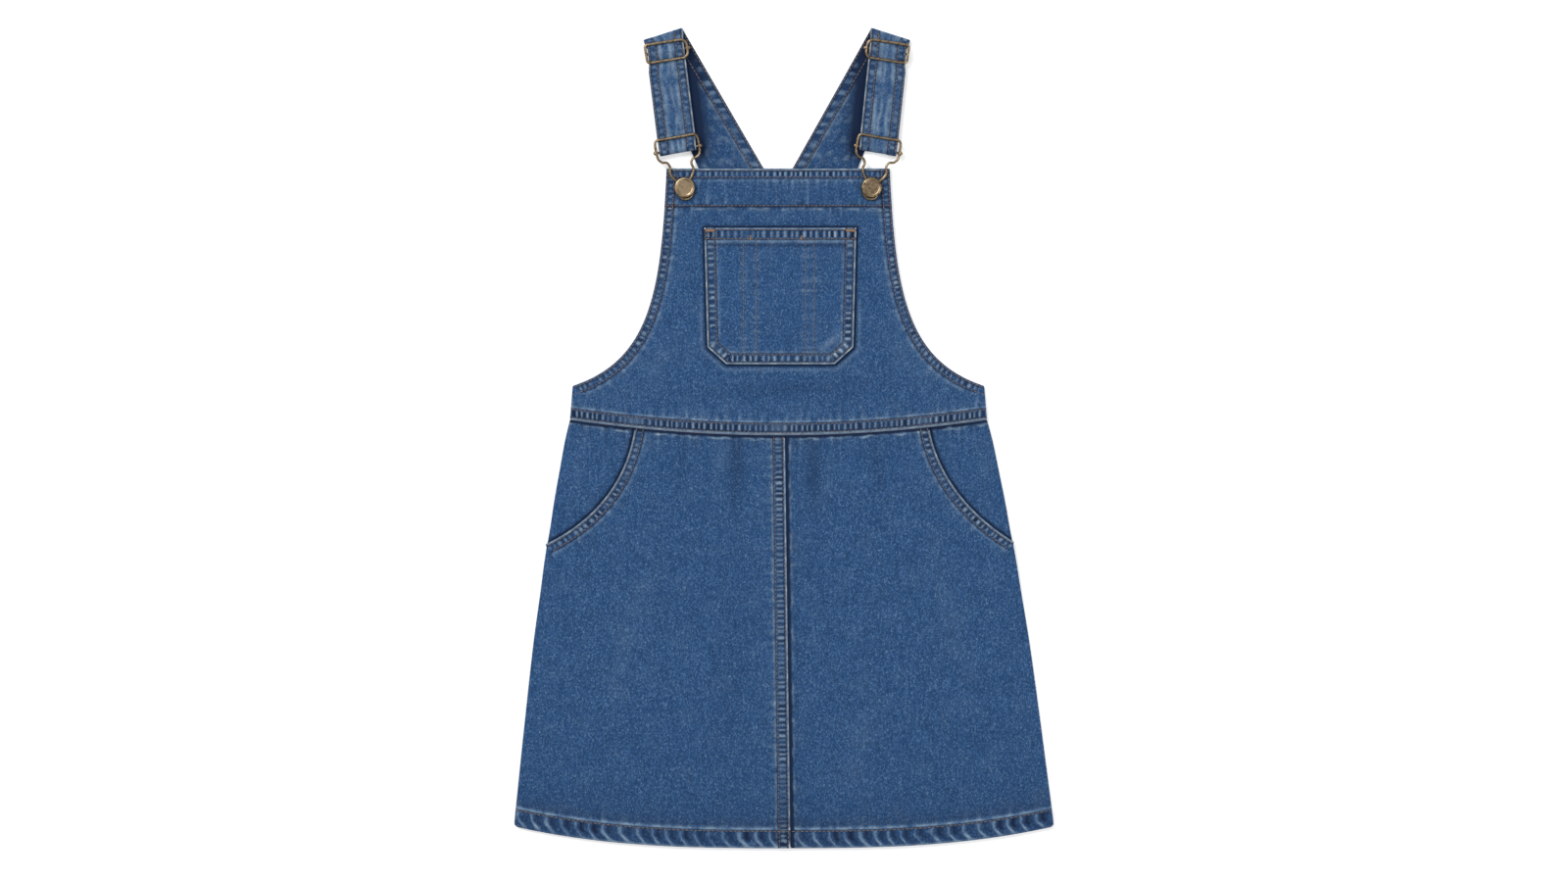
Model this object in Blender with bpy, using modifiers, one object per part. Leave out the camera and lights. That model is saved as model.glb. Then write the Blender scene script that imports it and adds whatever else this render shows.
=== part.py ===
"""Denim overall dress laid flat on its back, straps folded over at the shoulders.

The front faces up (+Z) and the straps point along +Y. "left" pieces lie at -X and "right"
pieces at +X. A place on the garment is given by how far out it is from the centre line and by
its y. Sizes are in millimetres; the meshes are made in metres.
"""
import math
from collections import namedtuple

import bmesh
import bpy
from mathutils import Vector

MM = 0.001
GARMENT = "overall_dress"
LEFT, RIGHT = -1, 1
SIDE_NAME = {LEFT: "left", RIGHT: "right"}

# ---- cloth -----------------------------------------------------------------------------------
CLOTH = 1.1                 # one layer of denim
GAP = 0.3                   # between pieces, at seams and between layers
STEP = 0.6                  # width of the slope where a raised margin ends
TURN = 0.8                  # how far a turned and topstitched margin stands proud
SEAM_TURN = 0.7             # the same, along the centre front seam and the pocket mouths
ARMHOLE_TURN = 0.6
FACING = 0.4                # lift of the faced top of the bib

# ---- heights of the layers ---------------------------------------------------------------------
SIDE_LEVEL = CLOTH + GAP    # underside of a front piece where it is sewn to the back
BIB_LEVEL = 1.9             # underside of the bib over the back straps
FRONT_LEVEL = 2.8           # underside of the front in the open field
HEM_LEVEL = 2.3
WAIST_LEVEL = 2.5

# ---- how the garment lies: the centre line drifts sideways along the length --------------------
Drift = namedtuple("Drift", "y x")
CENTRE_LINE = (
    Drift(y=-320.0, x=0.2),
    Drift(y=14.0, x=-4.3),
    Drift(y=210.0, x=-4.6),
    Drift(y=320.0, x=-5.7),
)

# ---- waist seam and hem, as curves across the garment ------------------------------------------
Bow = namedtuple("Bow", "middle_y side_y half power")
WAIST = Bow(middle_y=2.4, side_y=14.3, half=162.6, power=2.0)
HEM = Bow(middle_y=-320.0, side_y=-303.0, half=210.4, power=2.8)
WAIST_MARGIN = 10.0
HEM_MARGIN = 14.4

# ---- bodice front and back ---------------------------------------------------------------------
BIB_TOP_Y = 210.0
BIB_TOP_HALF = 87.0
BIB_TOP_MARGIN = 7.6
BIB_FACING_DEPTH = 29.8
ARMHOLE_FOOT = (160.5, 40.5)
ARMHOLE_HANDLES = ((98.7, 60.6), (91.3, 115.9))
ARMHOLE_MARGIN = 6.8
BACK_INSET = 0.6            # the back's edge lies this far inside the front's
BACK_TOP_Y = 190.4
BACK_TOP_HALF = 53.9
BACK_ARMHOLE_HANDLES = ((88.0, 56.0), (36.0, 146.0))

# ---- skirt -------------------------------------------------------------------------------------
Seam = namedtuple("Seam", "y half")
SIDE_SEAM = (
    Seam(y=-303.0, half=210.4),
    Seam(y=-288.0, half=208.9),
    Seam(y=-232.0, half=202.4),
    Seam(y=-163.0, half=193.9),
    Seam(y=-117.0, half=187.0),
    Seam(y=-94.0, half=183.6),
    Seam(y=-71.0, half=179.4),
    Seam(y=-48.0, half=175.6),
    Seam(y=-25.0, half=171.2),
    Seam(y=-2.5, half=166.8),
    Seam(y=14.3, half=162.6),
)
CENTRE_SEAM = 5.0           # the centre seam's edge lies right of the centre line
CENTRE_MARGIN = 10.0
Mouth = namedtuple("Mouth", "top_out handle_top handle_foot foot")
POCKET_MOUTH = {
    LEFT: Mouth(top_out=112.2, handle_top=(117.6, -26.0), handle_foot=(137.0, -61.0),
                foot=(183.0, -83.0)),
    RIGHT: Mouth(top_out=117.4, handle_top=(122.4, -24.0), handle_foot=(142.6, -57.0),
                 foot=(183.0, -81.5)),
}
MOUTH_MARGIN = 7.3
HIP_UNDERLAP = 13.0         # how far a hip panel runs on under the pocket mouth
HIP_FOOT_Y = -93.0
MOUTH_LIFT_END = -135.0     # the side edge has settled on the back from here down

Fold = namedtuple("Fold", "x y reach_x reach_y height")
SKIRT_FOLDS = (
    Fold(x=-36.5, y=-30.0, reach_x=8.0, reach_y=17.0, height=-0.9),
    Fold(x=24.0, y=-31.0, reach_x=8.0, reach_y=16.0, height=-0.8),
    Fold(x=-62.0, y=-36.0, reach_x=14.0, reach_y=30.0, height=0.5),
    Fold(x=62.0, y=-40.0, reach_x=15.0, reach_y=34.0, height=0.5),
    Fold(x=-92.0, y=-215.0, reach_x=24.0, reach_y=70.0, height=0.5),
    Fold(x=104.0, y=-190.0, reach_x=22.0, reach_y=60.0, height=0.4),
)
WAIST_LUMPS = (0.0, 114.0)   # where a seam below runs in under the waist margin
LUMP_HEIGHT = 0.5
LUMP_REACH = 7.0

# ---- bib pocket --------------------------------------------------------------------------------
POCKET_SHIFT = 1.6
POCKET_TOP_Y = 163.7
POCKET_TOP_HALF = 59.3
POCKET_SIDE_FOOT = (57.0, 70.6)
POCKET_FOOT = (42.2, 57.2)
POCKET_MARGIN = 8.0
POCKET_TURN = 0.6

# ---- straps ------------------------------------------------------------------------------------
STRAP = 1.3                 # thickness of the doubled strap
STRAP_TURN = 0.3
STRAP_HALF = 15.0
STRAP_MARGIN = 6.9
STRAP_SLACK = 0.5           # between the strap and the wires that it turns over
STRAP_FOOT_Y = BACK_TOP_Y + GAP
STRAP_FOOT_IN = 0.15
SHOULDER_OUT = (104.2, 310.3)
SHOULDER_IN = (73.6, 320.0)
SHOULDER_TOP = 3.45         # middle of the strap just past the shoulder fold
RETURN_LEVEL = 2.55         # middle of the hidden layer between slider and buckle
OUTER_LEVEL = 4.15          # middle of the layer on top of it

# ---- hardware ----------------------------------------------------------------------------------
WIRE = 1.0                  # radius of the wires
KNOB = 1.7
KNOB_OUT = 0.8              # how far a knob's centre is past its side wire
KNOB_LIFT = 0.6             # and above its bar
BUTTON_OUT, BUTTON_Y = 72.8, 194.9
BUTTON_RADIUS = 8.0
BUTTON_TOP = 8.3
BUTTON_THICK = 1.8
BUTTON_SHANK = 2.2
BUCKLE_TILT = math.radians(10.0)
CROSSBAR_AT = 30.2          # crossbar's distance from the button, along the buckle
CROSSBAR_Z = 4.7
Bend = namedtuple("Bend", "out along z")
BUCKLE_BENDS = (            # right half of the buckle's wire, from the button's seat up
    Bend(out=0.0, along=-9.0, z=5.2),
    Bend(out=4.1, along=-7.3, z=5.2),
    Bend(out=5.8, along=-3.2, z=5.2),
    Bend(out=4.4, along=1.4, z=5.2),
    Bend(out=4.6, along=4.6, z=5.2),
    Bend(out=8.2, along=10.0, z=5.2),
    Bend(out=9.3, along=13.6, z=5.25),
    Bend(out=8.5, along=17.8, z=5.35),
    Bend(out=10.2, along=21.2, z=5.45),
    Bend(out=13.8, along=22.2, z=5.5),
    Bend(out=16.4, along=25.2, z=5.6),
    Bend(out=16.9, along=30.4, z=5.9),
    Bend(out=16.8, along=36.4, z=6.5),
    Bend(out=14.9, along=39.6, z=6.8),
    Bend(out=8.0, along=39.7, z=6.8),
    Bend(out=0.0, along=39.7, z=6.8),
)
SLIDER_AT = 12.2            # slider's middle, along the strap from the shoulder fold
SLIDER_TILT = math.radians(9.0)
SLIDER_HALF = 7.1           # from its bar to each long wire
SLIDER_OUT = 15.3           # its side wires, outward and inward of the strap's middle
SLIDER_IN = 17.0
SLIDER_Z = 6.5
SLIDER_BAR_Z = 4.7
SLIDER_CORNERS = {"out": 2.0, "in": 4.5}
CORNER_POINTS = 5

# ---- fineness ----------------------------------------------------------------------------------
BIB_ROWS, BIB_COLUMNS = 16, 12
SKIRT_ROWS, SKIRT_COLUMNS = 20, 12
MOUTH_ROWS = 10
BACK_ROWS, BACK_COLUMNS = 14, 8
STRAP_ROWS = {"back": 4, "fold": 6, "front": 22, "loop": 8, "return": 3}
CURVE_POINTS = 160
WIRE_SPAN_POINTS = 3
BUTTON_STEPS = 24

BLUE = (0.055, 0.13, 0.30)
DARK_BLUE = (0.035, 0.085, 0.21)
BRASS = (0.36, 0.25, 0.11)


# ---- small mathematics -------------------------------------------------------------------------
def mix(start, end, share):
    return start + (end - start) * share


def smooth(value):
    """An eased step: 0 up to 0, 1 from 1 on."""
    value = min(max(value, 0.0), 1.0)
    return value * value * (3 - 2 * value)


def read(table, key, field, at):
    """Value of a field between the rows of a table that is sorted by its key."""
    rows = sorted(table, key=lambda row: getattr(row, key))
    low, high = rows[0], rows[-1]
    for first, second in zip(rows, rows[1:]):
        if getattr(first, key) <= at <= getattr(second, key):
            low, high = first, second
    span = getattr(high, key) - getattr(low, key)
    share = min(max((at - getattr(low, key)) / span, 0.0), 1.0)
    return mix(getattr(low, field), getattr(high, field), share)


def bezier(start, first, second, end, count=CURVE_POINTS):
    """Points along a cubic curve with two handles."""
    corners = [Vector(corner) for corner in (start, first, second, end)]
    points = []
    for index in range(count + 1):
        t = index / count
        weights = ((1 - t) ** 3, 3 * t * (1 - t) ** 2, 3 * t * t * (1 - t), t ** 3)
        points.append(sum((w * corner for w, corner in zip(weights, corners)), Vector((0, 0))))
    return points


def rounded(points, per_span, closed=False):
    """A smooth curve through points of any size (Catmull-Rom)."""
    count = len(points)
    spans = count if closed else count - 1
    curve = []
    for index in range(spans):
        if closed:
            before, here, there, after = (points[(index + k) % count] for k in (-1, 0, 1, 2))
        else:
            here, there = points[index], points[index + 1]
            before = points[index - 1] if index else 2 * here - there
            after = points[index + 2] if index + 2 < count else 2 * there - here
        for part in range(per_span):
            t = part / per_span
            curve.append(0.5 * (2 * here + (there - before) * t
                                + (2 * before - 5 * here + 4 * there - after) * t * t
                                + (3 * here - before - 3 * there + after) * t ** 3))
    if not closed:
        curve.append(points[-1])
    return curve


class Edge:
    """A flat edge curve that runs upward on the garment's right half."""

    def __init__(self, points):
        self.points = [Vector(point) for point in points]
        self.marks = [0.0]
        for first, second in zip(self.points, self.points[1:]):
            self.marks.append(self.marks[-1] + (second - first).length)
        self.length = self.marks[-1]

    def at(self, mark):
        for index, end in enumerate(self.marks[1:], start=1):
            if mark <= end or index == len(self.marks) - 1:
                span = end - self.marks[index - 1]
                share = min(max((mark - self.marks[index - 1]) / span, 0.0), 1.0)
                return self.points[index - 1].lerp(self.points[index], share)

    def inward(self, mark, reach=3.0):
        """Unit vector square to the edge, into the cloth."""
        run = self.at(min(mark + reach, self.length)) - self.at(max(mark - reach, 0.0))
        return Vector((-run.y, run.x)).normalized()


def centre_x(y):
    return read(CENTRE_LINE, "y", "x", y)


def bow_y(bow, out):
    return mix(bow.middle_y, bow.side_y, (abs(out) / bow.half) ** bow.power)


def row_y(out, middle_y, side):
    """Height of a row of stations, bowed like the waist or the hem."""
    share = min(max(abs(out) / side.x, 0.0), 1.0)
    hem_share = min(max((HEM.middle_y - middle_y) / (HEM.middle_y - WAIST.middle_y), 0.0), 1.0)
    power = mix(HEM.power, WAIST.power, hem_share)
    return mix(middle_y, side.y, share ** power)


# ---- mesh and object makers --------------------------------------------------------------------
def material(name, colour, roughness, metallic=0.0):
    made = bpy.data.materials.new(name)
    made.use_nodes = True
    shader = made.node_tree.nodes["Principled BSDF"]
    shader.inputs["Base Color"].default_value = (*colour, 1.0)
    shader.inputs["Roughness"].default_value = roughness
    shader.inputs["Metallic"].default_value = metallic
    return made


def denim(name, colour=BLUE):
    return material(f"{name}_denim", colour, 0.85)


def brass(name):
    return material(f"{name}_brass", BRASS, 0.38, 1.0)


def keep(name, mesh, collection, finish=None):
    """A bmesh as an object in a collection."""
    bmesh.ops.recalc_face_normals(mesh, faces=mesh.faces[:])
    if mesh.calc_volume(signed=True) < 0:
        bmesh.ops.reverse_faces(mesh, faces=mesh.faces[:])
    data = bpy.data.meshes.new(name)
    mesh.to_mesh(data)
    mesh.free()
    made = bpy.data.objects.new(name, data)
    collection.objects.link(made)
    if finish:
        data.materials.append(finish)
    return made


def wall(name, rows, collection, finish):
    """A closed wall of cloth through rows of stations, each a pair of inner and outer points."""
    mesh = bmesh.new()
    bmesh.ops.create_grid(mesh, x_segments=len(rows[0]) - 1, y_segments=len(rows) - 1, size=1)
    inner = list(mesh.verts)
    parts = mesh.faces[:] + mesh.edges[:] + inner
    made = bmesh.ops.extrude_face_region(mesh, geom=parts, use_keep_orig=True)
    outer = [part for part in made["geom"] if isinstance(part, bmesh.types.BMVert)]
    stations = [station for row in rows for station in row]
    for low, high, (inside, outside) in zip(inner, outer, stations):
        low.co = Vector(inside) * MM
        high.co = Vector(outside) * MM
    return keep(name, mesh, collection, finish)


def station(side, out, y, low, thick):
    """A pair of points of a lying wall, out from the centre line on one side."""
    x = centre_x(y) + side * out
    return (x, y, low), (x, y, low + thick)


# ---- edges of the pieces -----------------------------------------------------------------------
def side_seam(low_y, high_y, inset=0.0):
    """Points up the side seam between two heights."""
    seam = rounded([Vector((row.half, row.y)) for row in SIDE_SEAM], 8)
    kept = [point for point in seam if low_y < point.y < high_y]
    ends = [Vector((read(SIDE_SEAM, "y", "half", y), y)) for y in (low_y, high_y)]
    return [point - Vector((inset, 0)) for point in (ends[0], *kept, ends[1])]


def bib_edge():
    foot = (WAIST.half, WAIST.side_y)
    armhole = bezier(ARMHOLE_FOOT, *ARMHOLE_HANDLES, (BIB_TOP_HALF, BIB_TOP_Y))
    return Edge([foot, *armhole])


def back_edge():
    foot = (WAIST.half - BACK_INSET, WAIST.side_y)
    arm_foot = (ARMHOLE_FOOT[0] - BACK_INSET, ARMHOLE_FOOT[1] - BACK_INSET)
    armhole = bezier(arm_foot, *BACK_ARMHOLE_HANDLES, (BACK_TOP_HALF, BACK_TOP_Y))
    return Edge([foot, *armhole])


def mouth_curve(side):
    mouth = POCKET_MOUTH[side]
    top = (mouth.top_out, bow_y(WAIST, mouth.top_out) - GAP)
    return bezier(mouth.foot, mouth.handle_foot, mouth.handle_top, top)


def front_edge(side):
    """The skirt front's outer edge: up the side seam, then along the pocket mouth."""
    foot_y = POCKET_MOUTH[side].foot[1]
    return Edge([*side_seam(HEM.side_y, foot_y)[:-1], *mouth_curve(side)])


# ---- heights of the front ----------------------------------------------------------------------
def fold_lift(x, y):
    total = 0.0
    for fold in SKIRT_FOLDS:
        away = ((x - fold.x) / fold.reach_x) ** 2 + ((y - fold.y) / fold.reach_y) ** 2
        total += fold.height * math.exp(-away)
    return total


def lump_lift(out, above_waist):
    """Lift of the waist margin over the ends of the seams below it."""
    fade = 1 - smooth((above_waist - WAIST_MARGIN) / WAIST_MARGIN)
    lumps = (math.exp(-((out - at) / LUMP_REACH) ** 2) for at in WAIST_LUMPS)
    return LUMP_HEIGHT * fade * sum(lumps)


def bib_low(out, y, from_edge, on_seam):
    """Underside of the bodice front; on_seam is 1 at the side seam and 0 up the armhole."""
    field = smooth(from_edge / 28.0) * smooth((BIB_TOP_Y - y) / 36.0)
    edge_level = mix(BIB_LEVEL, SIDE_LEVEL, on_seam)
    above_waist = y - bow_y(WAIST, out)
    settle = (FRONT_LEVEL - WAIST_LEVEL) * (1 - smooth(above_waist / 30.0)) * field
    return mix(edge_level, FRONT_LEVEL, field) - settle + lump_lift(out, above_waist) * field


def skirt_low(side, out, y, from_edge, on_mouth):
    """Underside of a skirt front; on_mouth is 1 where it lies on the hip panel."""
    field = max(smooth(from_edge / 20.0), on_mouth)
    to_hem = smooth((y - bow_y(HEM, out)) / 45.0)
    to_waist = max(smooth((bow_y(WAIST, out) - y) / 30.0), on_mouth)
    level = mix(HEM_LEVEL, FRONT_LEVEL, to_hem) - (FRONT_LEVEL - WAIST_LEVEL) * (1 - to_waist)
    folds = fold_lift(side * out, y) * smooth(from_edge / 30.0) * (1 - on_mouth)
    return mix(mix(HEM_LEVEL - 0.1, SIDE_LEVEL, to_hem), level, field) + folds


# ---- marks along an edge where the rows start --------------------------------------------------
def marks(length, rows, foot=(), head=()):
    """Row marks up an edge: close pairs at the margins and even rows between them."""
    start = foot[-1] if foot else 0.0
    end = length - head[-1] if head else length
    between = [mix(start, end, index / rows) for index in range(1, rows)]
    ends = [length - mark for mark in reversed(head)]
    return [0.0, *foot, *between, *ends, length]


# ---- panels ------------------------------------------------------------------------------------
def bib_front(collection):
    edge = bib_edge()
    foot = (WAIST_MARGIN, WAIST_MARGIN + STEP)
    head = (BIB_TOP_MARGIN, BIB_TOP_MARGIN + STEP, BIB_FACING_DEPTH, BIB_FACING_DEPTH + STEP)
    seam_length = (Vector(ARMHOLE_FOOT) - edge.at(0)).length
    rows = []
    for mark in marks(edge.length, BIB_ROWS, foot, head):
        share = mark / edge.length
        middle_y = mix(WAIST.middle_y, BIB_TOP_Y, share)
        side = edge.at(mark)
        from_top = edge.length - mark
        level_row = mark in (0.0, edge.length)
        inward = Vector((-1, 0)) if level_row else edge.inward(mark)
        on_seam = 1 - smooth((mark - seam_length) / 12.0)
        turned = ARMHOLE_TURN * smooth((mark - seam_length + 4.0) / 8.0)
        turn = TURN if mark <= WAIST_MARGIN or from_top <= BIB_TOP_MARGIN + 1e-6 else 0.0
        facing = FACING if from_top <= BIB_FACING_DEPTH + 1e-6 else 0.0
        half_row = []
        for offset in (0.0, ARMHOLE_MARGIN, ARMHOLE_MARGIN + STEP):
            place = side + inward * offset
            if mark == 0.0:
                place.y = bow_y(WAIST, place.x)
            half_row.append((place, offset, max(turn, turned if offset <= ARMHOLE_MARGIN else 0)))
        inmost = half_row[-1][0]
        for column in range(1, BIB_COLUMNS // 2 + 1):
            out = inmost.x * (1 - column / (BIB_COLUMNS // 2))
            place = Vector((out, row_y(out, middle_y, inmost)))
            half_row.append((place, ARMHOLE_MARGIN + STEP + inmost.x - out, turn))
        row = []
        for place, from_edge, raised in half_row:
            low = bib_low(place.x, place.y, from_edge, on_seam)
            row.append((place, low, CLOTH + max(raised, facing)))
        stations = [station(LEFT, place.x, place.y, low, thick) for place, low, thick in row]
        stations += [station(RIGHT, place.x, place.y, low, thick)
                     for place, low, thick in reversed(row[:-1])]
        rows.append(stations)
    return wall("bib_front", rows, collection, denim("bib_front"))


def bib_top(out, y):
    """Height of the bib's upper face in its faced top."""
    from_edge = BIB_TOP_HALF - out
    return bib_low(out, y, from_edge, 0.0) + CLOTH + FACING


def bib_pocket(collection):
    """Patch pocket: an outline with its turned margins standing proud of the middle."""
    half = (POCKET_FOOT, POCKET_SIDE_FOOT, (POCKET_TOP_HALF, POCKET_TOP_Y))
    outline = [(centre_x(y) + POCKET_SHIFT + out, y) for out, y in half]
    outline += [(centre_x(y) + POCKET_SHIFT - out, y) for out, y in reversed(half)]
    under = FRONT_LEVEL + CLOTH + GAP
    mesh = bmesh.new()
    corners = [mesh.verts.new(Vector((x, y, under + CLOTH + POCKET_TURN)) * MM)
               for x, y in outline]
    field = [mesh.faces.new(corners)]
    mesh.normal_update()
    for width in (POCKET_MARGIN, STEP):
        bmesh.ops.inset_region(mesh, faces=field, thickness=width * MM,
                               use_boundary=True, use_even_offset=True)
    for corner in field[0].verts:
        corner.co.z = (under + CLOTH) * MM
    parts = mesh.faces[:] + mesh.edges[:] + mesh.verts[:]
    made = bmesh.ops.extrude_face_region(mesh, geom=parts, use_keep_orig=True)
    for part in made["geom"]:
        if isinstance(part, bmesh.types.BMVert):
            part.co.z = under * MM
    return keep("bib_pocket", mesh, collection, denim("bib_pocket"))


def skirt_front(side, collection):
    edge = front_edge(side)
    mouth_start = Edge(side_seam(HEM.side_y, POCKET_MOUTH[side].foot[1])).length
    top_y = WAIST.middle_y - GAP
    margin = (HEM_MARGIN, HEM_MARGIN + STEP)
    seam_columns = ((CENTRE_SEAM + GAP, 0.0),)
    if side == LEFT:
        seam_columns = ((CENTRE_MARGIN - CENTRE_SEAM + STEP, 0.0),
                        (CENTRE_MARGIN - CENTRE_SEAM, SEAM_TURN), (-CENTRE_SEAM, SEAM_TURN))
    rows = []
    for mark in marks(edge.length, SKIRT_ROWS, margin):
        middle_y = mix(HEM.middle_y, top_y, mark / edge.length)
        edge_place = edge.at(mark)
        level_row = mark in (0.0, edge.length)
        inward = Vector((-1, 0)) if level_row else edge.inward(mark)
        on_mouth = smooth((edge_place.y - MOUTH_LIFT_END) / (HIP_FOOT_Y - 6.0 - MOUTH_LIFT_END))
        turned = SEAM_TURN * smooth((mark - mouth_start + 3.0) / 6.0)
        hem_turn = TURN if mark <= HEM_MARGIN else 0.0
        places = []
        for offset in (0.0, MOUTH_MARGIN, MOUTH_MARGIN + STEP):
            place = edge_place + inward * offset
            if level_row:
                place.y = bow_y(HEM if mark == 0.0 else WAIST, place.x) - (GAP if mark else 0.0)
            raised = turned if offset <= MOUTH_MARGIN else 0.0
            places.append((place, offset, max(raised, hem_turn)))
        inmost = places[-1][0]
        first_seam = seam_columns[0][0]
        for column in range(1, SKIRT_COLUMNS):
            out = mix(inmost.x, first_seam, column / SKIRT_COLUMNS)
            places.append((Vector((out, row_y(out, middle_y, inmost))),
                           MOUTH_MARGIN + STEP + inmost.x - out, hem_turn))
        for out, raised in seam_columns:
            places.append((Vector((out, row_y(max(out, 0.0), middle_y, inmost))),
                           MOUTH_MARGIN + STEP + inmost.x - out, max(raised, hem_turn)))
        row = []
        for place, from_edge, raised in places:
            over_hip = on_mouth * (1 - smooth((from_edge - HIP_UNDERLAP - 4.0) / 12.0))
            low = skirt_low(side, place.x, place.y, from_edge, over_hip)
            row.append(station(side, place.x, place.y, low, CLOTH + raised))
        rows.append(row)
    name = f"skirt_front_{SIDE_NAME[side]}"
    return wall(name, rows, collection, denim(name))


def hip_panel(side, collection):
    """Panel inside a pocket mouth, from the side seam in under the front's margin."""
    mouth = Edge(mouth_curve(side))
    top_y = WAIST.side_y - GAP
    outer = Edge(side_seam(HIP_FOOT_Y, top_y))
    rows = []
    for index in range(MOUTH_ROWS + 1):
        share = index / MOUTH_ROWS
        seam_place = outer.at(share * outer.length)
        mark = share * mouth.length
        inner = mouth.at(mark) + mouth.inward(mark) * HIP_UNDERLAP
        if index == MOUTH_ROWS:
            inner.y = bow_y(WAIST, inner.x) - GAP
        ratio = (inner.x / seam_place.x) ** WAIST.power
        middle_y = (inner.y - seam_place.y * ratio) / (1 - ratio)
        row = []
        for column in range(5):
            out = mix(seam_place.x, inner.x, column / 4)
            y = mix(middle_y, seam_place.y, (out / seam_place.x) ** WAIST.power)
            row.append(station(side, out, y, SIDE_LEVEL, CLOTH))
        rows.append(row)
    name = f"hip_panel_{SIDE_NAME[side]}"
    return wall(name, rows, collection, denim(name, DARK_BLUE))


def back_piece(name, edge, middle_low, middle_high, margin, collection):
    """A back piece flat on the surface; a margin at its foot is turned to the inside."""
    rows = []
    for mark in marks(edge.length, BACK_ROWS, margin):
        middle_y = mix(middle_low, middle_high, mark / edge.length)
        side = edge.at(mark)
        thick = CLOTH + (TURN if margin and mark <= margin[0] else 0.0)
        row = []
        for column in range(-BACK_COLUMNS // 2, BACK_COLUMNS // 2 + 1):
            out = side.x * column / (BACK_COLUMNS / 2)
            y = row_y(out, middle_y, side)
            row.append(station(RIGHT, out, y, 0.0, thick))
        rows.append(row)
    return wall(name, rows, collection, denim(name, DARK_BLUE))


def backs(collection):
    back_piece("bodice_back", back_edge(), WAIST.middle_y, BACK_TOP_Y, (), collection)
    seam = Edge(side_seam(HEM.side_y + BACK_INSET, WAIST.side_y - GAP, BACK_INSET))
    back_piece("skirt_back", seam, HEM.middle_y + BACK_INSET, WAIST.middle_y - GAP,
               (HEM_MARGIN, HEM_MARGIN + STEP), collection)


# ---- straps ------------------------------------------------------------------------------------
def tilted(angle):
    """Unit vectors of a piece on the right half: across toward the centre, and along upward."""
    across = Vector((-math.cos(angle), math.sin(angle)))
    along = Vector((math.sin(angle), math.cos(angle)))
    return across, along


def crossbar_place():
    return Vector((BUTTON_OUT, BUTTON_Y)) + tilted(BUCKLE_TILT)[1] * CROSSBAR_AT


def shoulder():
    """The shoulder fold's ends at the strap's middle layer, and the way out of the fold."""
    out, inn = Vector(SHOULDER_OUT), Vector(SHOULDER_IN)
    line = (inn - out).normalized()
    away = Vector((-line.y, line.x)) if line.x > 0 else Vector((line.y, -line.x))
    radius = (SHOULDER_TOP - STRAP / 2) / 2
    inset = away * (radius + STRAP / 2)
    return out - inset, inn - inset, away, radius


def strap_line():
    """Start, end, length and direction of the strap's front run."""
    out, inn, away, radius = shoulder()
    start = (out + inn) / 2
    end = crossbar_place()
    return start, end, (end - start).length, (end - start).normalized()


Run = namedtuple("Run", "at z tilt out_half in_half")


def strap_runs():
    """Heights, tilts and half widths along the front run, from the shoulder fold down."""
    length = strap_line()[2]
    out, inn = Vector(SHOULDER_OUT), Vector(SHOULDER_IN)
    fold_half = (inn - out).length / 2
    fold_tilt = math.atan2(inn.y - out.y, out.x - inn.x)
    bar_top = SLIDER_BAR_Z + WIRE + STRAP_SLACK + STRAP / 2
    loop_top = CROSSBAR_Z + WIRE + STRAP_SLACK + STRAP / 2
    tight = SLIDER_OUT - WIRE - STRAP_SLACK
    return (
        Run(0.0, SHOULDER_TOP, fold_tilt, fold_half, fold_half),
        Run(SLIDER_AT - SLIDER_HALF, OUTER_LEVEL, SLIDER_TILT, tight, STRAP_HALF),
        Run(SLIDER_AT, bar_top, SLIDER_TILT, tight, STRAP_HALF),
        Run(SLIDER_AT + SLIDER_HALF, OUTER_LEVEL, SLIDER_TILT, tight, STRAP_HALF),
        Run(SLIDER_AT + 2 * SLIDER_HALF, OUTER_LEVEL, SLIDER_TILT, STRAP_HALF, STRAP_HALF),
        Run(length - 10.5, OUTER_LEVEL, BUCKLE_TILT, STRAP_HALF, STRAP_HALF),
        Run(length, loop_top, BUCKLE_TILT, STRAP_HALF - 0.5, STRAP_HALF - 0.5),
    )


def run_at(runs, at):
    """The strap's run at a distance, eased between the table's rows."""
    for first, second in zip(runs, runs[1:]):
        if at <= second.at:
            break
    share = smooth((at - first.at) / (second.at - first.at))
    return Run(*(mix(a, b, share) for a, b in zip(first, second)))


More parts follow.
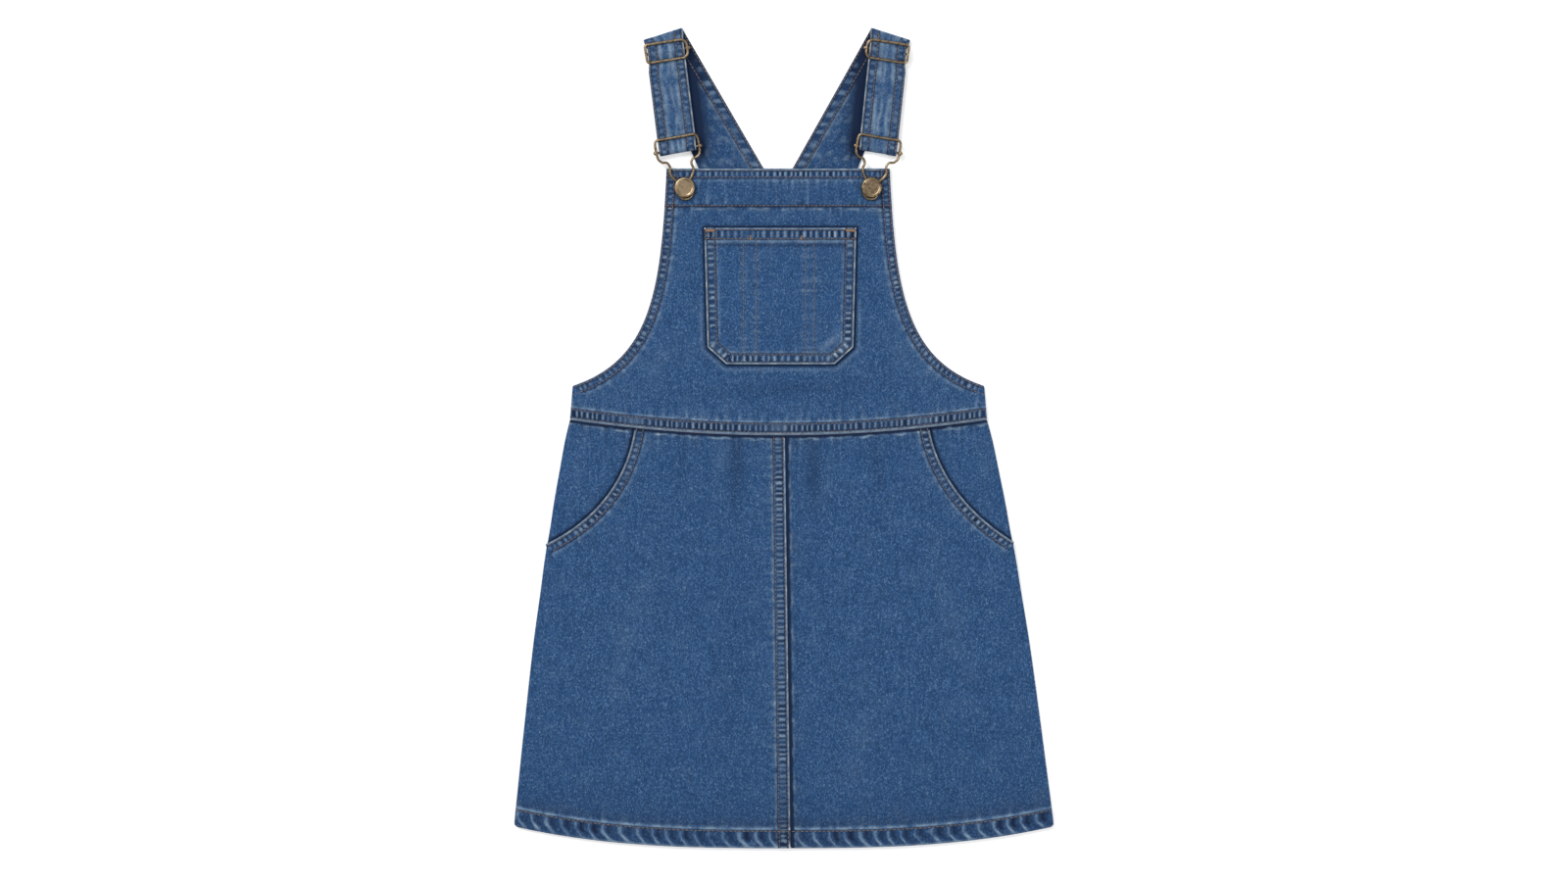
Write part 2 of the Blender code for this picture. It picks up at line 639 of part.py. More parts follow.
def strap_frames():
    """Frames along a right strap: middle of both edges, cloth's outer normal, and turned side.

    The turned side is 1 where the margins stand up on the outer face, -1 on the inner face and
    0 on a hidden layer.
    """
    fold_out, fold_in, away, radius = shoulder()
    level = STRAP / 2
    frames = []
    foot_out = Vector((BACK_TOP_HALF, STRAP_FOOT_Y))
    foot_in = Vector((STRAP_FOOT_IN, STRAP_FOOT_Y))
    down, up = Vector((0, 0, -1)), Vector((0, 0, 1))
    for index in range(STRAP_ROWS["back"]):
        share = index / STRAP_ROWS["back"]
        edges = (foot_out.lerp(fold_out, share), foot_in.lerp(fold_in, share))
        frames.append(([Vector((*edge, level)) for edge in edges], down, -1))
    away3 = Vector((*away, 0))
    for index in range(STRAP_ROWS["fold"]):
        angle = math.pi * (index / STRAP_ROWS["fold"] - 0.5)
        normal = away3 * math.cos(angle) + up * math.sin(angle)
        middle = Vector((0, 0, level + radius))
        edges = [Vector((*edge, 0)) + middle + normal * radius for edge in (fold_out, fold_in)]
        frames.append((edges, normal, mix(-1, 1, index / STRAP_ROWS["fold"])))
    start, end, length, direction = strap_line()
    runs = strap_runs()
    direction3 = Vector((*direction, 0))

    def edges_at(run):
        across = Vector((*tilted(run.tilt)[0], 0))
        middle = Vector((*(start + direction * run.at), run.z))
        return [middle - across * run.out_half, middle + across * run.in_half]

    for index in range(STRAP_ROWS["front"] + 1):
        at = length * front_share(index / STRAP_ROWS["front"], length)
        run = run_at(runs, at)
        ahead, behind = run_at(runs, min(at + 0.5, length)), run_at(runs, max(at - 0.5, 0.0))
        slope = (ahead.z - behind.z) / (ahead.at - behind.at)
        frames.append((edges_at(run), (up - direction3 * slope).normalized(), 1))
    loop = runs[-1]
    loop_radius = loop.z - CROSSBAR_Z
    for index in range(1, STRAP_ROWS["loop"] + 1):
        angle = math.pi * (0.5 - index / STRAP_ROWS["loop"])
        normal = direction3 * math.cos(angle) + up * math.sin(angle)
        shift = normal * loop_radius - up * loop_radius
        frames.append(([edge + shift for edge in edges_at(loop)], normal,
                       1 - index / STRAP_ROWS["loop"]))
    for index in range(1, STRAP_ROWS["return"] + 1):
        at = mix(length, SLIDER_AT, index / STRAP_ROWS["return"])
        run = run_at(runs, at)._replace(z=RETURN_LEVEL)
        frames.append((edges_at(run), down, 0))
    return frames


def front_share(share, length):
    """Rows of the front run: close together at the slider and at the buckle's loop."""
    slider_end = (SLIDER_AT + SLIDER_HALF * 2) / length
    loop_start = 1 - 12.0 / length
    if share < 0.6:
        return slider_end * share / 0.6
    if share < 0.75:
        return mix(slider_end, loop_start, (share - 0.6) / 0.15)
    return mix(loop_start, 1.0, (share - 0.75) / 0.25)


def strap(side, collection):
    rows = []
    for (out, inn), normal, turned in strap_frames():
        width = (inn - out).length
        across = (inn - out) / width
        margin, slope = STRAP_MARGIN, STRAP_MARGIN + STEP
        offsets = (0.0, margin, slope, width - slope, width - margin, width)
        row = []
        for offset in offsets:
            place = out + across * offset
            raised = STRAP_TURN if not slope <= offset <= width - slope else 0.0
            outer = place + normal * (STRAP / 2 + raised * max(turned, 0.0))
            inner = place - normal * (STRAP / 2 + raised * max(-turned, 0.0))
            row.append(tuple((centre_x(p.y) + side * p.x, p.y, p.z) for p in (inner, outer)))
        rows.append(row)
    name = f"strap_{SIDE_NAME[side]}"
    return wall(name, rows, collection, denim(name))


# ---- hardware ----------------------------------------------------------------------------------
def placed(side, point, z):
    """A point of the garment's half as one in space."""
    return Vector((centre_x(point.y) + side * point.x, point.y, z)) * MM


def wire(name, points, collection, closed=True):
    """A wire through points in metres, as a mesh."""
    curve = bpy.data.curves.new(name, "CURVE")
    curve.dimensions = "3D"
    curve.bevel_depth = WIRE * MM
    curve.bevel_resolution = 2
    curve.use_fill_caps = not closed
    spline = curve.splines.new("POLY")
    spline.points.add(len(points) - 1)
    for target, point in zip(spline.points, points):
        target.co = (*point, 1.0)
    spline.use_cyclic_u = closed
    drawn = bpy.data.objects.new(f"{name}_curve", curve)
    collection.objects.link(drawn)
    evaluated = drawn.evaluated_get(bpy.context.evaluated_depsgraph_get())
    data = bpy.data.meshes.new_from_object(evaluated)
    bpy.data.objects.remove(drawn)
    mesh = bmesh.new()
    mesh.from_mesh(data)
    bpy.data.meshes.remove(data)
    bmesh.ops.remove_doubles(mesh, verts=mesh.verts[:], dist=1e-6)
    return keep(name, mesh, collection)


def knob(name, place, collection):
    mesh = bmesh.new()
    bmesh.ops.create_uvsphere(mesh, u_segments=10, v_segments=7, radius=KNOB * MM)
    for corner in mesh.verts:
        corner.co += place
    return keep(name, mesh, collection)


def unite(main, additions, finish):
    """Join tools onto a piece with unions and give it its finish."""
    main.data.materials.append(finish)
    for tool in additions:
        tool.hide_render = True
        tool.display_type = "WIRE"
        join = main.modifiers.new(f"join_{tool.name}", "BOOLEAN")
        join.operation = "UNION"
        join.solver = "EXACT"
        join.object = tool
    main.data.shade_smooth()
    return main


def buckle(side, collection, tools):
    name = f"buckle_{SIDE_NAME[side]}"
    across, along = tilted(BUCKLE_TILT)
    button = Vector((BUTTON_OUT, BUTTON_Y))
    half = [Vector((bend.out, bend.along, bend.z)) for bend in BUCKLE_BENDS]
    mirrored = [Vector((-bend.x, bend.y, bend.z)) for bend in reversed(half[1:-1])]
    loop = rounded(half + mirrored, WIRE_SPAN_POINTS, closed=True)
    points = [placed(side, button + across * p.x + along * p.y, p.z) for p in loop]
    frame = wire(name, points, collection)
    middle = crossbar_place()
    reach = max(bend.out for bend in BUCKLE_BENDS) + KNOB_OUT
    ends = [middle + across * reach * way for way in (-1, 1)]
    bar_ends = [placed(side, end, CROSSBAR_Z) for end in ends]
    bar = wire(f"{name}_bar", bar_ends, tools, closed=False)
    knobs = [knob(f"{name}_knob_{index}", placed(side, end, CROSSBAR_Z + KNOB_LIFT), tools)
             for index, end in enumerate(ends)]
    return unite(frame, [bar, *knobs], brass(name))


def slider(side, collection, tools):
    name = f"slider_{SIDE_NAME[side]}"
    across, along = tilted(SLIDER_TILT)
    start, end, length, direction = strap_line()
    middle = start + direction * SLIDER_AT
    corners = (
        (-SLIDER_OUT, -SLIDER_HALF, "out", math.pi),
        (SLIDER_IN, -SLIDER_HALF, "in", -math.pi / 2),
        (SLIDER_IN, SLIDER_HALF, "in", 0.0),
        (-SLIDER_OUT, SLIDER_HALF, "out", math.pi / 2),
    )
    points = []
    for u, w, end_name, first in corners:
        radius = SLIDER_CORNERS[end_name]
        hub = Vector((u - math.copysign(radius, u), w - math.copysign(radius, w)))
        for index in range(CORNER_POINTS):
            angle = first + math.pi / 2 * index / (CORNER_POINTS - 1)
            local = hub + radius * Vector((math.cos(angle), math.sin(angle)))
            points.append(placed(side, middle + across * local.x + along * local.y, SLIDER_Z))
    frame = wire(name, points, collection)
    bar_ends = [placed(side, middle + across * u, SLIDER_BAR_Z)
                for u in (-SLIDER_OUT, SLIDER_IN + KNOB_OUT)]
    bar = wire(f"{name}_bar", bar_ends, tools, closed=False)
    ball = placed(side, middle + across * (SLIDER_IN + KNOB_OUT), SLIDER_BAR_Z + KNOB_LIFT)
    return unite(frame, [bar, knob(f"{name}_knob", ball, tools)], brass(name))


def button(side, collection):
    """Jeans button: a turned cap with a rim on a shank that stands on the bib."""
    name = f"button_{SIDE_NAME[side]}"
    base = bib_top(BUTTON_OUT, BUTTON_Y) + GAP
    top, under = BUTTON_TOP, BUTTON_TOP - BUTTON_THICK
    radius = BUTTON_RADIUS
    profile = ((0.0, top - 0.25), (radius - 2.4, top - 0.3), (radius - 1.9, top),
               (radius - 0.8, top - 0.1), (radius - 0.1, top - 0.8), (radius - 0.3, under + 0.4),
               (radius - 1.0, under), (BUTTON_SHANK, under), (BUTTON_SHANK, base), (0.0, base))
    mesh = bmesh.new()
    corners = [mesh.verts.new(Vector((r, 0, z)) * MM) for r, z in profile]
    for first, second in zip(corners, corners[1:]):
        mesh.edges.new((first, second))
    data = bpy.data.meshes.new(name)
    mesh.to_mesh(data)
    mesh.free()
    made = bpy.data.objects.new(name, data)
    made.location = placed(side, Vector((BUTTON_OUT, BUTTON_Y)), 0.0)
    data.materials.append(brass(name))
    collection.objects.link(made)
    turn = made.modifiers.new("turn", "SCREW")
    turn.steps = turn.render_steps = BUTTON_STEPS
    turn.use_merge_vertices = True
    turn.merge_threshold = 0.00001
    return made


# ---- the whole garment -------------------------------------------------------------------------
def new_collection(name):
    made = bpy.data.collections.new(name)
    bpy.context.scene.collection.children.link(made)
    return made


def main():
    for item in list(bpy.data.objects):
        bpy.data.objects.remove(item)
    collection = new_collection(GARMENT)
    tools = new_collection("joining_tools")
    backs(collection)
    bib_front(collection)
    bib_pocket(collection)
    for side in (LEFT, RIGHT):
        hip_panel(side, collection)
        skirt_front(side, collection)
        strap(side, collection)
        slider(side, collection, tools)
        buckle(side, collection, tools)
        button(side, collection)


main()
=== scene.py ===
"""Looks of a denim overall dress that lies flat on its back, straps folded over at the shoulders.

Every cloth piece is a thin shell on its solid's form: a fine outer face with turned margins,
puckers, roping and soft folds, over a coarser underside. Sizes are in millimetres unless a
property says otherwise; the meshes are made in metres.
"""
import math
from collections import namedtuple

import bmesh
import bpy
import numpy as np
from bpy.props import FloatProperty, FloatVectorProperty, IntProperty, PointerProperty
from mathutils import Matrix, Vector
from mathutils.bvhtree import BVHTree

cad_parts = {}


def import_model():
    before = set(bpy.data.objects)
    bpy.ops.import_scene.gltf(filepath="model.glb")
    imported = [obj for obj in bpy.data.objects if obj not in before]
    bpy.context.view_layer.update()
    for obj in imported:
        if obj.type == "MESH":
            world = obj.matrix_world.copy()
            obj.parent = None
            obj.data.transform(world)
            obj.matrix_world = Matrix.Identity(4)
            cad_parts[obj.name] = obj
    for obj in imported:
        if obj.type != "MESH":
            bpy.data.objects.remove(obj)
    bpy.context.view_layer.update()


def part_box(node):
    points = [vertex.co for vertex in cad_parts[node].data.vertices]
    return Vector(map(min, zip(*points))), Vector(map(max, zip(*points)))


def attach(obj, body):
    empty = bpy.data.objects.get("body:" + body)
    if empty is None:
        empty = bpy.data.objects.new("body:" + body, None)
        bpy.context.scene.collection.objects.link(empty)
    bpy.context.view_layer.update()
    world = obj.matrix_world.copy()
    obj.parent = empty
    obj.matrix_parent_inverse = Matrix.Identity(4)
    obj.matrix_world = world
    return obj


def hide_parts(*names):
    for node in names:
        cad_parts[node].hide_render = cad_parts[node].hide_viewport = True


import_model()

bl_info = {
    "name": "Denim overall dress",
    "version": (1, 0, 0),
    "blender": (4, 5, 0),
    "location": "View3D > Sidebar > Dress",
    "description": "Builds the cloth, sewing and hardware of a flat-laid denim overall dress",
    "category": "Object",
}

MM = 0.001
LEFT, RIGHT = -1, 1
SIDE_NAME = {LEFT: "left", RIGHT: "right"}

# ---- the garment's own sizes, as its solids have them ----
CLOTH = 1.1                 # thickness of the denim
GAP = 0.3                   # between two pieces
STEP = 0.6                  # a margin's raised part ends over this length
TURN = 0.8                  # what turned margins add to the thickness
SEAM_TURN = 0.7
ARMHOLE_TURN = 0.6
FACING = 0.4
SIDE_LEVEL = CLOTH + GAP    # heights of the fronts' undersides
BIB_LEVEL = 1.9
FRONT_LEVEL = 2.8
HEM_LEVEL = 2.3
WAIST_LEVEL = 2.5

CENTRE_LINE = ((-320.0, 0.2), (14.0, -4.3), (210.0, -4.6), (320.0, -5.7))   # y, x
Bow = namedtuple("Bow", "middle_y side_y half power")      # a line that rises to the sides
WAIST = Bow(middle_y=2.4, side_y=14.3, half=162.6, power=2.0)
HEM = Bow(middle_y=-320.0, side_y=-303.0, half=210.4, power=2.8)
WAIST_MARGIN = 10.0
HEM_MARGIN = 14.4

BIB_TOP_Y = 210.0
BIB_TOP_HALF = 87.0
BIB_TOP_MARGIN = 7.6
BIB_FACING_DEPTH = 29.8
ARMHOLE_FOOT = (160.5, 40.5)
ARMHOLE_HANDLES = ((98.7, 60.6), (91.3, 115.9))
ARMHOLE_MARGIN = 6.8
BACK_INSET = 0.6
BACK_TOP_Y = 190.4
BACK_TOP_HALF = 53.9
BACK_ARMHOLE_HANDLES = ((88.0, 56.0), (36.0, 146.0))

SIDE_SEAM = (               # half the width, y
    (210.4, -303.0), (208.9, -288.0), (202.4, -232.0), (193.9, -163.0), (187.0, -117.0),
    (183.6, -94.0), (179.4, -71.0), (175.6, -48.0), (171.2, -25.0), (166.8, -2.5), (162.6, 14.3),
)
CENTRE_SEAM = 5.0
CENTRE_END = {LEFT: -CENTRE_SEAM, RIGHT: CENTRE_SEAM + GAP}     # where each front's half ends
CENTRE_MARGIN = 10.0
Mouth = namedtuple("Mouth", "top_out handle_top handle_foot foot")
POCKET_MOUTH = {
    LEFT: Mouth(112.2, (117.6, -26.0), (137.0, -61.0), (183.0, -83.0)),
    RIGHT: Mouth(117.4, (122.4, -24.0), (142.6, -57.0), (183.0, -81.5)),
}
MOUTH_MARGIN = 7.3
HIP_UNDERLAP = 13.0
HIP_FOOT_Y = -93.0
MOUTH_LIFT_END = -135.0

SKIRT_FOLDS = (             # x, y, reach along x, reach along y, height
    (-36.5, -30.0, 8.0, 17.0, -0.9), (24.0, -31.0, 8.0, 16.0, -0.8),
    (-62.0, -36.0, 14.0, 30.0, 0.5), (62.0, -40.0, 15.0, 34.0, 0.5),
    (-92.0, -215.0, 24.0, 70.0, 0.5), (104.0, -190.0, 22.0, 60.0, 0.4),
)
WAIST_LUMPS = (0.0, 114.0)
LUMP_HEIGHT = 0.5
LUMP_REACH = 7.0

POCKET_SHIFT = 1.6
POCKET_TOP_Y = 163.7
POCKET_TOP_HALF = 59.3
POCKET_SIDE_FOOT = (57.0, 70.6)
POCKET_FOOT = (42.2, 57.2)
POCKET_MARGIN = 8.0
POCKET_TURN = 0.6

STRAP = 1.3                 # thickness of a strap
STRAP_TURN = 0.3
STRAP_HALF = 15.0
STRAP_MARGIN = 6.9
STRAP_SLACK = 0.5
STRAP_FOOT_Y = BACK_TOP_Y + GAP
STRAP_FOOT_IN = 0.15
SHOULDER_OUT = (104.2, 310.3)
SHOULDER_IN = (73.6, 320.0)
SHOULDER_TOP = 3.45
RETURN_LEVEL = 2.55
OUTER_LEVEL = 4.15

WIRE = 1.0                  # radius of the wire, and of the knobs on its ends
KNOB = 1.7
KNOB_OUT = 0.8
KNOB_LIFT = 0.6
BUTTON_OUT, BUTTON_Y = 72.8, 194.9
BUTTON_RADIUS = 8.0
BUTTON_THICK = 1.8
BUTTON_SHANK = 2.2
BUCKLE_TILT = math.radians(10.0)
CROSSBAR_AT = 30.2
CROSSBAR_Z = 4.7
BUCKLE_BENDS = (            # across from its middle, along from the button, height
    (0.0, -9.0, 5.2), (4.1, -7.3, 5.2), (5.8, -3.2, 5.2), (4.4, 1.4, 5.2), (4.6, 4.6, 5.2),
    (8.2, 10.0, 5.2), (9.3, 13.6, 5.25), (8.5, 17.8, 5.35), (10.2, 21.2, 5.45),
    (13.8, 22.2, 5.5), (16.4, 25.2, 5.6), (16.9, 30.4, 5.9), (16.8, 36.4, 6.5),
    (14.9, 39.6, 6.8), (8.0, 39.7, 6.8), (0.0, 39.7, 6.8),
)
SLIDER_AT = 12.2
SLIDER_TILT = math.radians(9.0)
SLIDER_HALF = 7.1
SLIDER_OUT = 15.3
SLIDER_IN = 17.0
SLIDER_Z = 6.5
SLIDER_BAR_Z = 4.7
SLIDER_OUTER_BEND, SLIDER_INNER_BEND = 2.0, 4.5

# ---- topstitching and finer relief ----
# ridge: how pale the cloth is beyond the inner row, and how far from that row
# tick: 0 for round puckers, 1 for narrow pale bars on dark ground
Margin = namedtuple("Margin", "width turn rows pucker pitch ridge ridge_at tick seed")
MARGINS = {
    "armhole": Margin(ARMHOLE_MARGIN, ARMHOLE_TURN, (1.3, 6.4), 0.20, 4.3, 0.30, 3.0, 0.2, 1.0),
    "bib_top": Margin(BIB_TOP_MARGIN, TURN, (1.5, 6.9), 0.31, 4.2, 0.24, 2.6, 0.4, 2.0),
    "waist": Margin(WAIST_MARGIN, TURN, (1.7, 8.2), 0.35, 4.4, 0.50, 1.8, 0.9, 3.0),
    "mouth": Margin(MOUTH_MARGIN, SEAM_TURN, (1.6, 6.8), 0.22, 4.6, 0.24, 2.6, 0.2, 4.0),
    "centre": Margin(CENTRE_MARGIN, SEAM_TURN, (1.7, 8.8), 0.22, 4.0, 0.36, 1.8, 0.3, 5.0),
    "hem": Margin(HEM_MARGIN, TURN, (13.2,), 0.30, 11.6, 0.66, 1.8, 0.0, 6.0),
    "pocket": Margin(POCKET_MARGIN, POCKET_TURN, (1.4, 7.6), 0.34, 5.1, 0.25, 1.9, 0.8, 7.0),
    "pocket_top": Margin(POCKET_MARGIN + 0.7, POCKET_TURN, (1.5, 8.4), 0.31, 5.0, 0.30, 2.8, 0.5,
                         9.0),
    "strap": Margin(STRAP_MARGIN, STRAP_TURN, (1.2, 6.6), 0.13, 5.6, 0.30, 1.5, 0.3, 8.0),
    "strap_back": Margin(9.4, STRAP_TURN, (1.2, 8.8), 0.11, 8.6, 0.55, 1.7, 0.0, 10.0),
}
PLAIN_PUCKER = 0.27         # height of a pucker that has plain contrast
EDGE_ROLL = 1.1             # radius of a folded edge
ABOVE_ALL = 12.0            # higher than every piece
LEAST_THICKNESS = 0.4       # a shell is no thinner than this in its hollows
UNDER_STRIDE = 5            # the underside's mesh is this many times coarser
FINE = 1.35                 # spacing of the outer faces' rows
COLUMN = 0.86               # and of their columns
CORNER_REACH = 7.5          # a mesh's rows fan round an outline's corner over this length


# ---- small mathematics, on arrays ----
def mix(start, end, share):
    return start + (end - start) * share


def smooth(value):
    value = np.clip(value, 0.0, 1.0)
    return value * value * (3 - 2 * value)


def even(start, end, spacing):
    return np.linspace(start, end, max(int(abs(end - start) / spacing) + 1, 2))


def bump(value, reach):
    """A soft hill of height 1 at 0."""
    return np.exp(-(value / reach) ** 2)


def ripple(value, seed):
    """Smooth noise of one variable, about -1 to 1, with a wavelength near 6."""
    waves = ((1.0, 1.03, 0.5), (0.61, 0.71, 0.3), (1.73, 2.3, 0.3))
    return sum(size * np.sin(rate * value + turn * 5.1 * seed) for rate, turn, size in waves)


def mottle(x, y, reach, seed):
    """Smooth noise over the plane, about -1 to 1."""
    total = 0.0
    for index in range(7):
        angle = index * 2.4 + seed * 1.7
        rate = (0.75 + 0.17 * index) / reach
        total = total + np.sin((x * math.cos(angle) + y * math.sin(angle)) * rate * math.tau
                               + 2.3 * index * seed)
    return total / 3.2


def handled_curve(start, first, second, end, count=160):
    """A smooth curve between two ends, drawn by a handle at each."""
    corners = np.array([start, first, second, end], float)
    t = np.linspace(0, 1, count + 1)[:, None]
    return ((1 - t) ** 3 * corners[0] + 3 * t * (1 - t) ** 2 * corners[1]
            + 3 * t * t * (1 - t) * corners[2] + t ** 3 * corners[3])


def rounded(points, per_span, closed=False):
    """A smooth curve through points."""
    points = np.array(points, float)
    if closed:
        points = np.vstack([points[-1], points, points[0], points[1]])
    else:
        points = np.vstack([2 * points[0] - points[1], points, 2 * points[-1] - points[-2]])
    curve = []
    for index in range(1, len(points) - 2):
        before, here, there, after = points[index - 1:index + 3]
        for part in range(per_span):
            t = part / per_span
            curve.append(0.5 * (2 * here + (there - before) * t
                                + (2 * before - 5 * here + 4 * there - after) * t * t
                                + (3 * here - before - 3 * there + after) * t ** 3))
    if not closed:
        curve.append(points[-2])
    return np.array(curve)


def centre_x(y):
    return np.interp(y, *zip(*CENTRE_LINE))


def bow_y(bow, out):
    return mix(bow.middle_y, bow.side_y, (np.abs(out) / bow.half) ** bow.power)


def row_y(out, middle_y, side):
    """Height of a row of stations, bowed like the waist or the hem."""
    share = np.clip(np.abs(out) / side[..., 0], 0.0, 1.0)
    to_waist = np.clip((HEM.middle_y - middle_y) / (HEM.middle_y - WAIST.middle_y), 0.0, 1.0)
    return mix(middle_y, side[..., 1], share ** mix(HEM.power, WAIST.power, to_waist))


def soften_corner(in_side, up_hem, radius=2.6):
    """Shares of a square corner drawn in to a round one, as distances in from its two sides."""
    u, v = radius - np.minimum(in_side, radius), radius - np.minimum(up_hem, radius)
    near = (in_side < radius) & (up_hem < radius)
    shift_u = u - u * np.sqrt(1 - v * v / (2 * radius * radius))
    shift_v = v - v * np.sqrt(1 - u * u / (2 * radius * radius))
    return np.where(near, shift_u, 0.0), np.where(near, shift_v, 0.0)


class Edge:
    """A flat curve measured along its length."""

    def __init__(self, points):
        self.points = np.array(points, float)
        spans = np.linalg.norm(np.diff(self.points, axis=0), axis=1)
        self.marks = np.concatenate([[0.0], np.cumsum(spans)])
        self.length = self.marks[-1]

    def at(self, mark):
        return np.stack([np.interp(mark, self.marks, self.points[:, axis])
                         for axis in range(2)], axis=-1)

    def inward(self, mark, reach=3.0):
        """Unit vectors square to the curve, to its left."""
        run = (self.at(np.minimum(mark + reach, self.length))
               - self.at(np.maximum(mark - reach, 0.0)))
        square = np.stack([-run[..., 1], run[..., 0]], axis=-1)
        return square / np.linalg.norm(square, axis=-1, keepdims=True)

    def near(self, x, y):
        """Distance from the curve and the mark along it for arrays of places."""
        marks = np.arange(0.0, self.length, 0.8)
        along = self.at(marks)
        flat_x, flat_y = np.ravel(x), np.ravel(y)
        best, where = np.empty(flat_x.size), np.empty(flat_x.size)
        for start in range(0, flat_x.size, 20000):
            part = slice(start, start + 20000)
            away = ((flat_x[part, None] - along[None, :, 0]) ** 2
                    + (flat_y[part, None] - along[None, :, 1]) ** 2)
            nearest = away.argmin(axis=1)
            best[part] = np.sqrt(away[np.arange(nearest.size), nearest])
            where[part] = marks[nearest]
        return best.reshape(np.shape(x)), where.reshape(np.shape(x))


# ---- edges of the pieces, on the garment's half ----
def side_seam(low_y, high_y, inset=0.0):
    seam = rounded(SIDE_SEAM, 8)
    kept = seam[(seam[:, 1] > low_y) & (seam[:, 1] < high_y)]
    halves, heights = zip(*SIDE_SEAM)
    ends = [(np.interp(y, heights, halves), y) for y in (low_y, high_y)]
    return np.vstack([ends[0], kept, ends[1]]) - (inset, 0.0)


def bib_edge():
    armhole = handled_curve(ARMHOLE_FOOT, *ARMHOLE_HANDLES, (BIB_TOP_HALF, BIB_TOP_Y))
    return Edge(np.vstack([(WAIST.half, WAIST.side_y), armhole]))


def back_edge():
    arm_foot = (ARMHOLE_FOOT[0] - BACK_INSET, ARMHOLE_FOOT[1] - BACK_INSET)
    armhole = handled_curve(arm_foot, *BACK_ARMHOLE_HANDLES, (BACK_TOP_HALF, BACK_TOP_Y))
    return Edge(np.vstack([(WAIST.half - BACK_INSET, WAIST.side_y), armhole]))


def mouth_curve(side):
    mouth = POCKET_MOUTH[side]
    top = (mouth.top_out, bow_y(WAIST, mouth.top_out) - GAP)
    return handled_curve(mouth.foot, mouth.handle_foot, mouth.handle_top, top)


def front_edge(side):
    foot_y = POCKET_MOUTH[side].foot[1]
    return Edge(np.vstack([side_seam(HEM.side_y, foot_y)[:-1], mouth_curve(side)]))


def pocket_ring():
    """The patch pocket's six corners in the plane, from the top right round to the top left."""
    half = ((POCKET_TOP_HALF, POCKET_TOP_Y), POCKET_SIDE_FOOT, POCKET_FOOT)
    ring = list(half) + [(-out, y) for out, y in reversed(half)]
    return [(float(centre_x(y)) + POCKET_SHIFT + out, y) for out, y in ring]


# ---- heights of the solids' undersides ----
def fold_lift(x, y):
    return sum(height * bump(np.hypot((x - fold_x) / reach_x, (y - fold_y) / reach_y), 1.0)
               for fold_x, fold_y, reach_x, reach_y, height in SKIRT_FOLDS)


def lump_lift(out, above_waist):
    fade = 1 - smooth((above_waist - WAIST_MARGIN) / WAIST_MARGIN)
    return LUMP_HEIGHT * fade * sum(bump(out - at, LUMP_REACH) for at in WAIST_LUMPS)


def bib_low(out, y, from_edge, on_seam):
    field = smooth(from_edge / 28.0) * smooth((BIB_TOP_Y - y) / 36.0)
    above_waist = y - bow_y(WAIST, out)
    settle = (FRONT_LEVEL - WAIST_LEVEL) * (1 - smooth(above_waist / 30.0)) * field
    edge_level = mix(BIB_LEVEL, SIDE_LEVEL, on_seam)
    return mix(edge_level, FRONT_LEVEL, field) - settle + lump_lift(out, above_waist) * field


def skirt_low(side, out, y, from_edge, on_mouth):
    field = np.maximum(smooth(from_edge / 20.0), on_mouth)
    to_hem = smooth((y - bow_y(HEM, out)) / 45.0)
    to_waist = np.maximum(smooth((bow_y(WAIST, out) - y) / 30.0), on_mouth)
    level = mix(HEM_LEVEL, FRONT_LEVEL, to_hem) - (FRONT_LEVEL - WAIST_LEVEL) * (1 - to_waist)
    folds = fold_lift(side * out, y) * smooth(from_edge / 30.0) * (1 - on_mouth)
    return mix(mix(HEM_LEVEL - 0.1, SIDE_LEVEL, to_hem), level, field) + folds


# ---- relief of a topstitched margin ----
def from_whole(turns):
    """How far each place is from the nearest whole turn."""
    return turns - np.round(turns)


def seam_puckers(spec, depth, along, busy):
    """Crests between a seam's rows of stitches: round puckers or narrow bars, as spec.tick says."""
    phase = along / spec.pitch + 0.30 * ripple(along / 9.0, spec.seed)
    turns = phase + 0.11 * np.sin(math.tau * phase * 0.37 + spec.seed)
    soft = np.tanh(2.0 * np.sin(math.tau * turns) - 0.35)
    bars = 1.6 * bump(from_whole(turns), 0.20) - 0.60
    crest = mix(soft, bars, spec.tick) * busy
    crest = crest * (0.85 + (0.45 - 0.20 * spec.tick) * ripple(along / 2.9, spec.seed + 8))
    first, last = spec.rows[0], spec.rows[-1]
    between = smooth((depth - first - 0.6) / 1.0) * (1 - smooth((depth - last + 1.5) / 1.1))
    return crest, between, phase


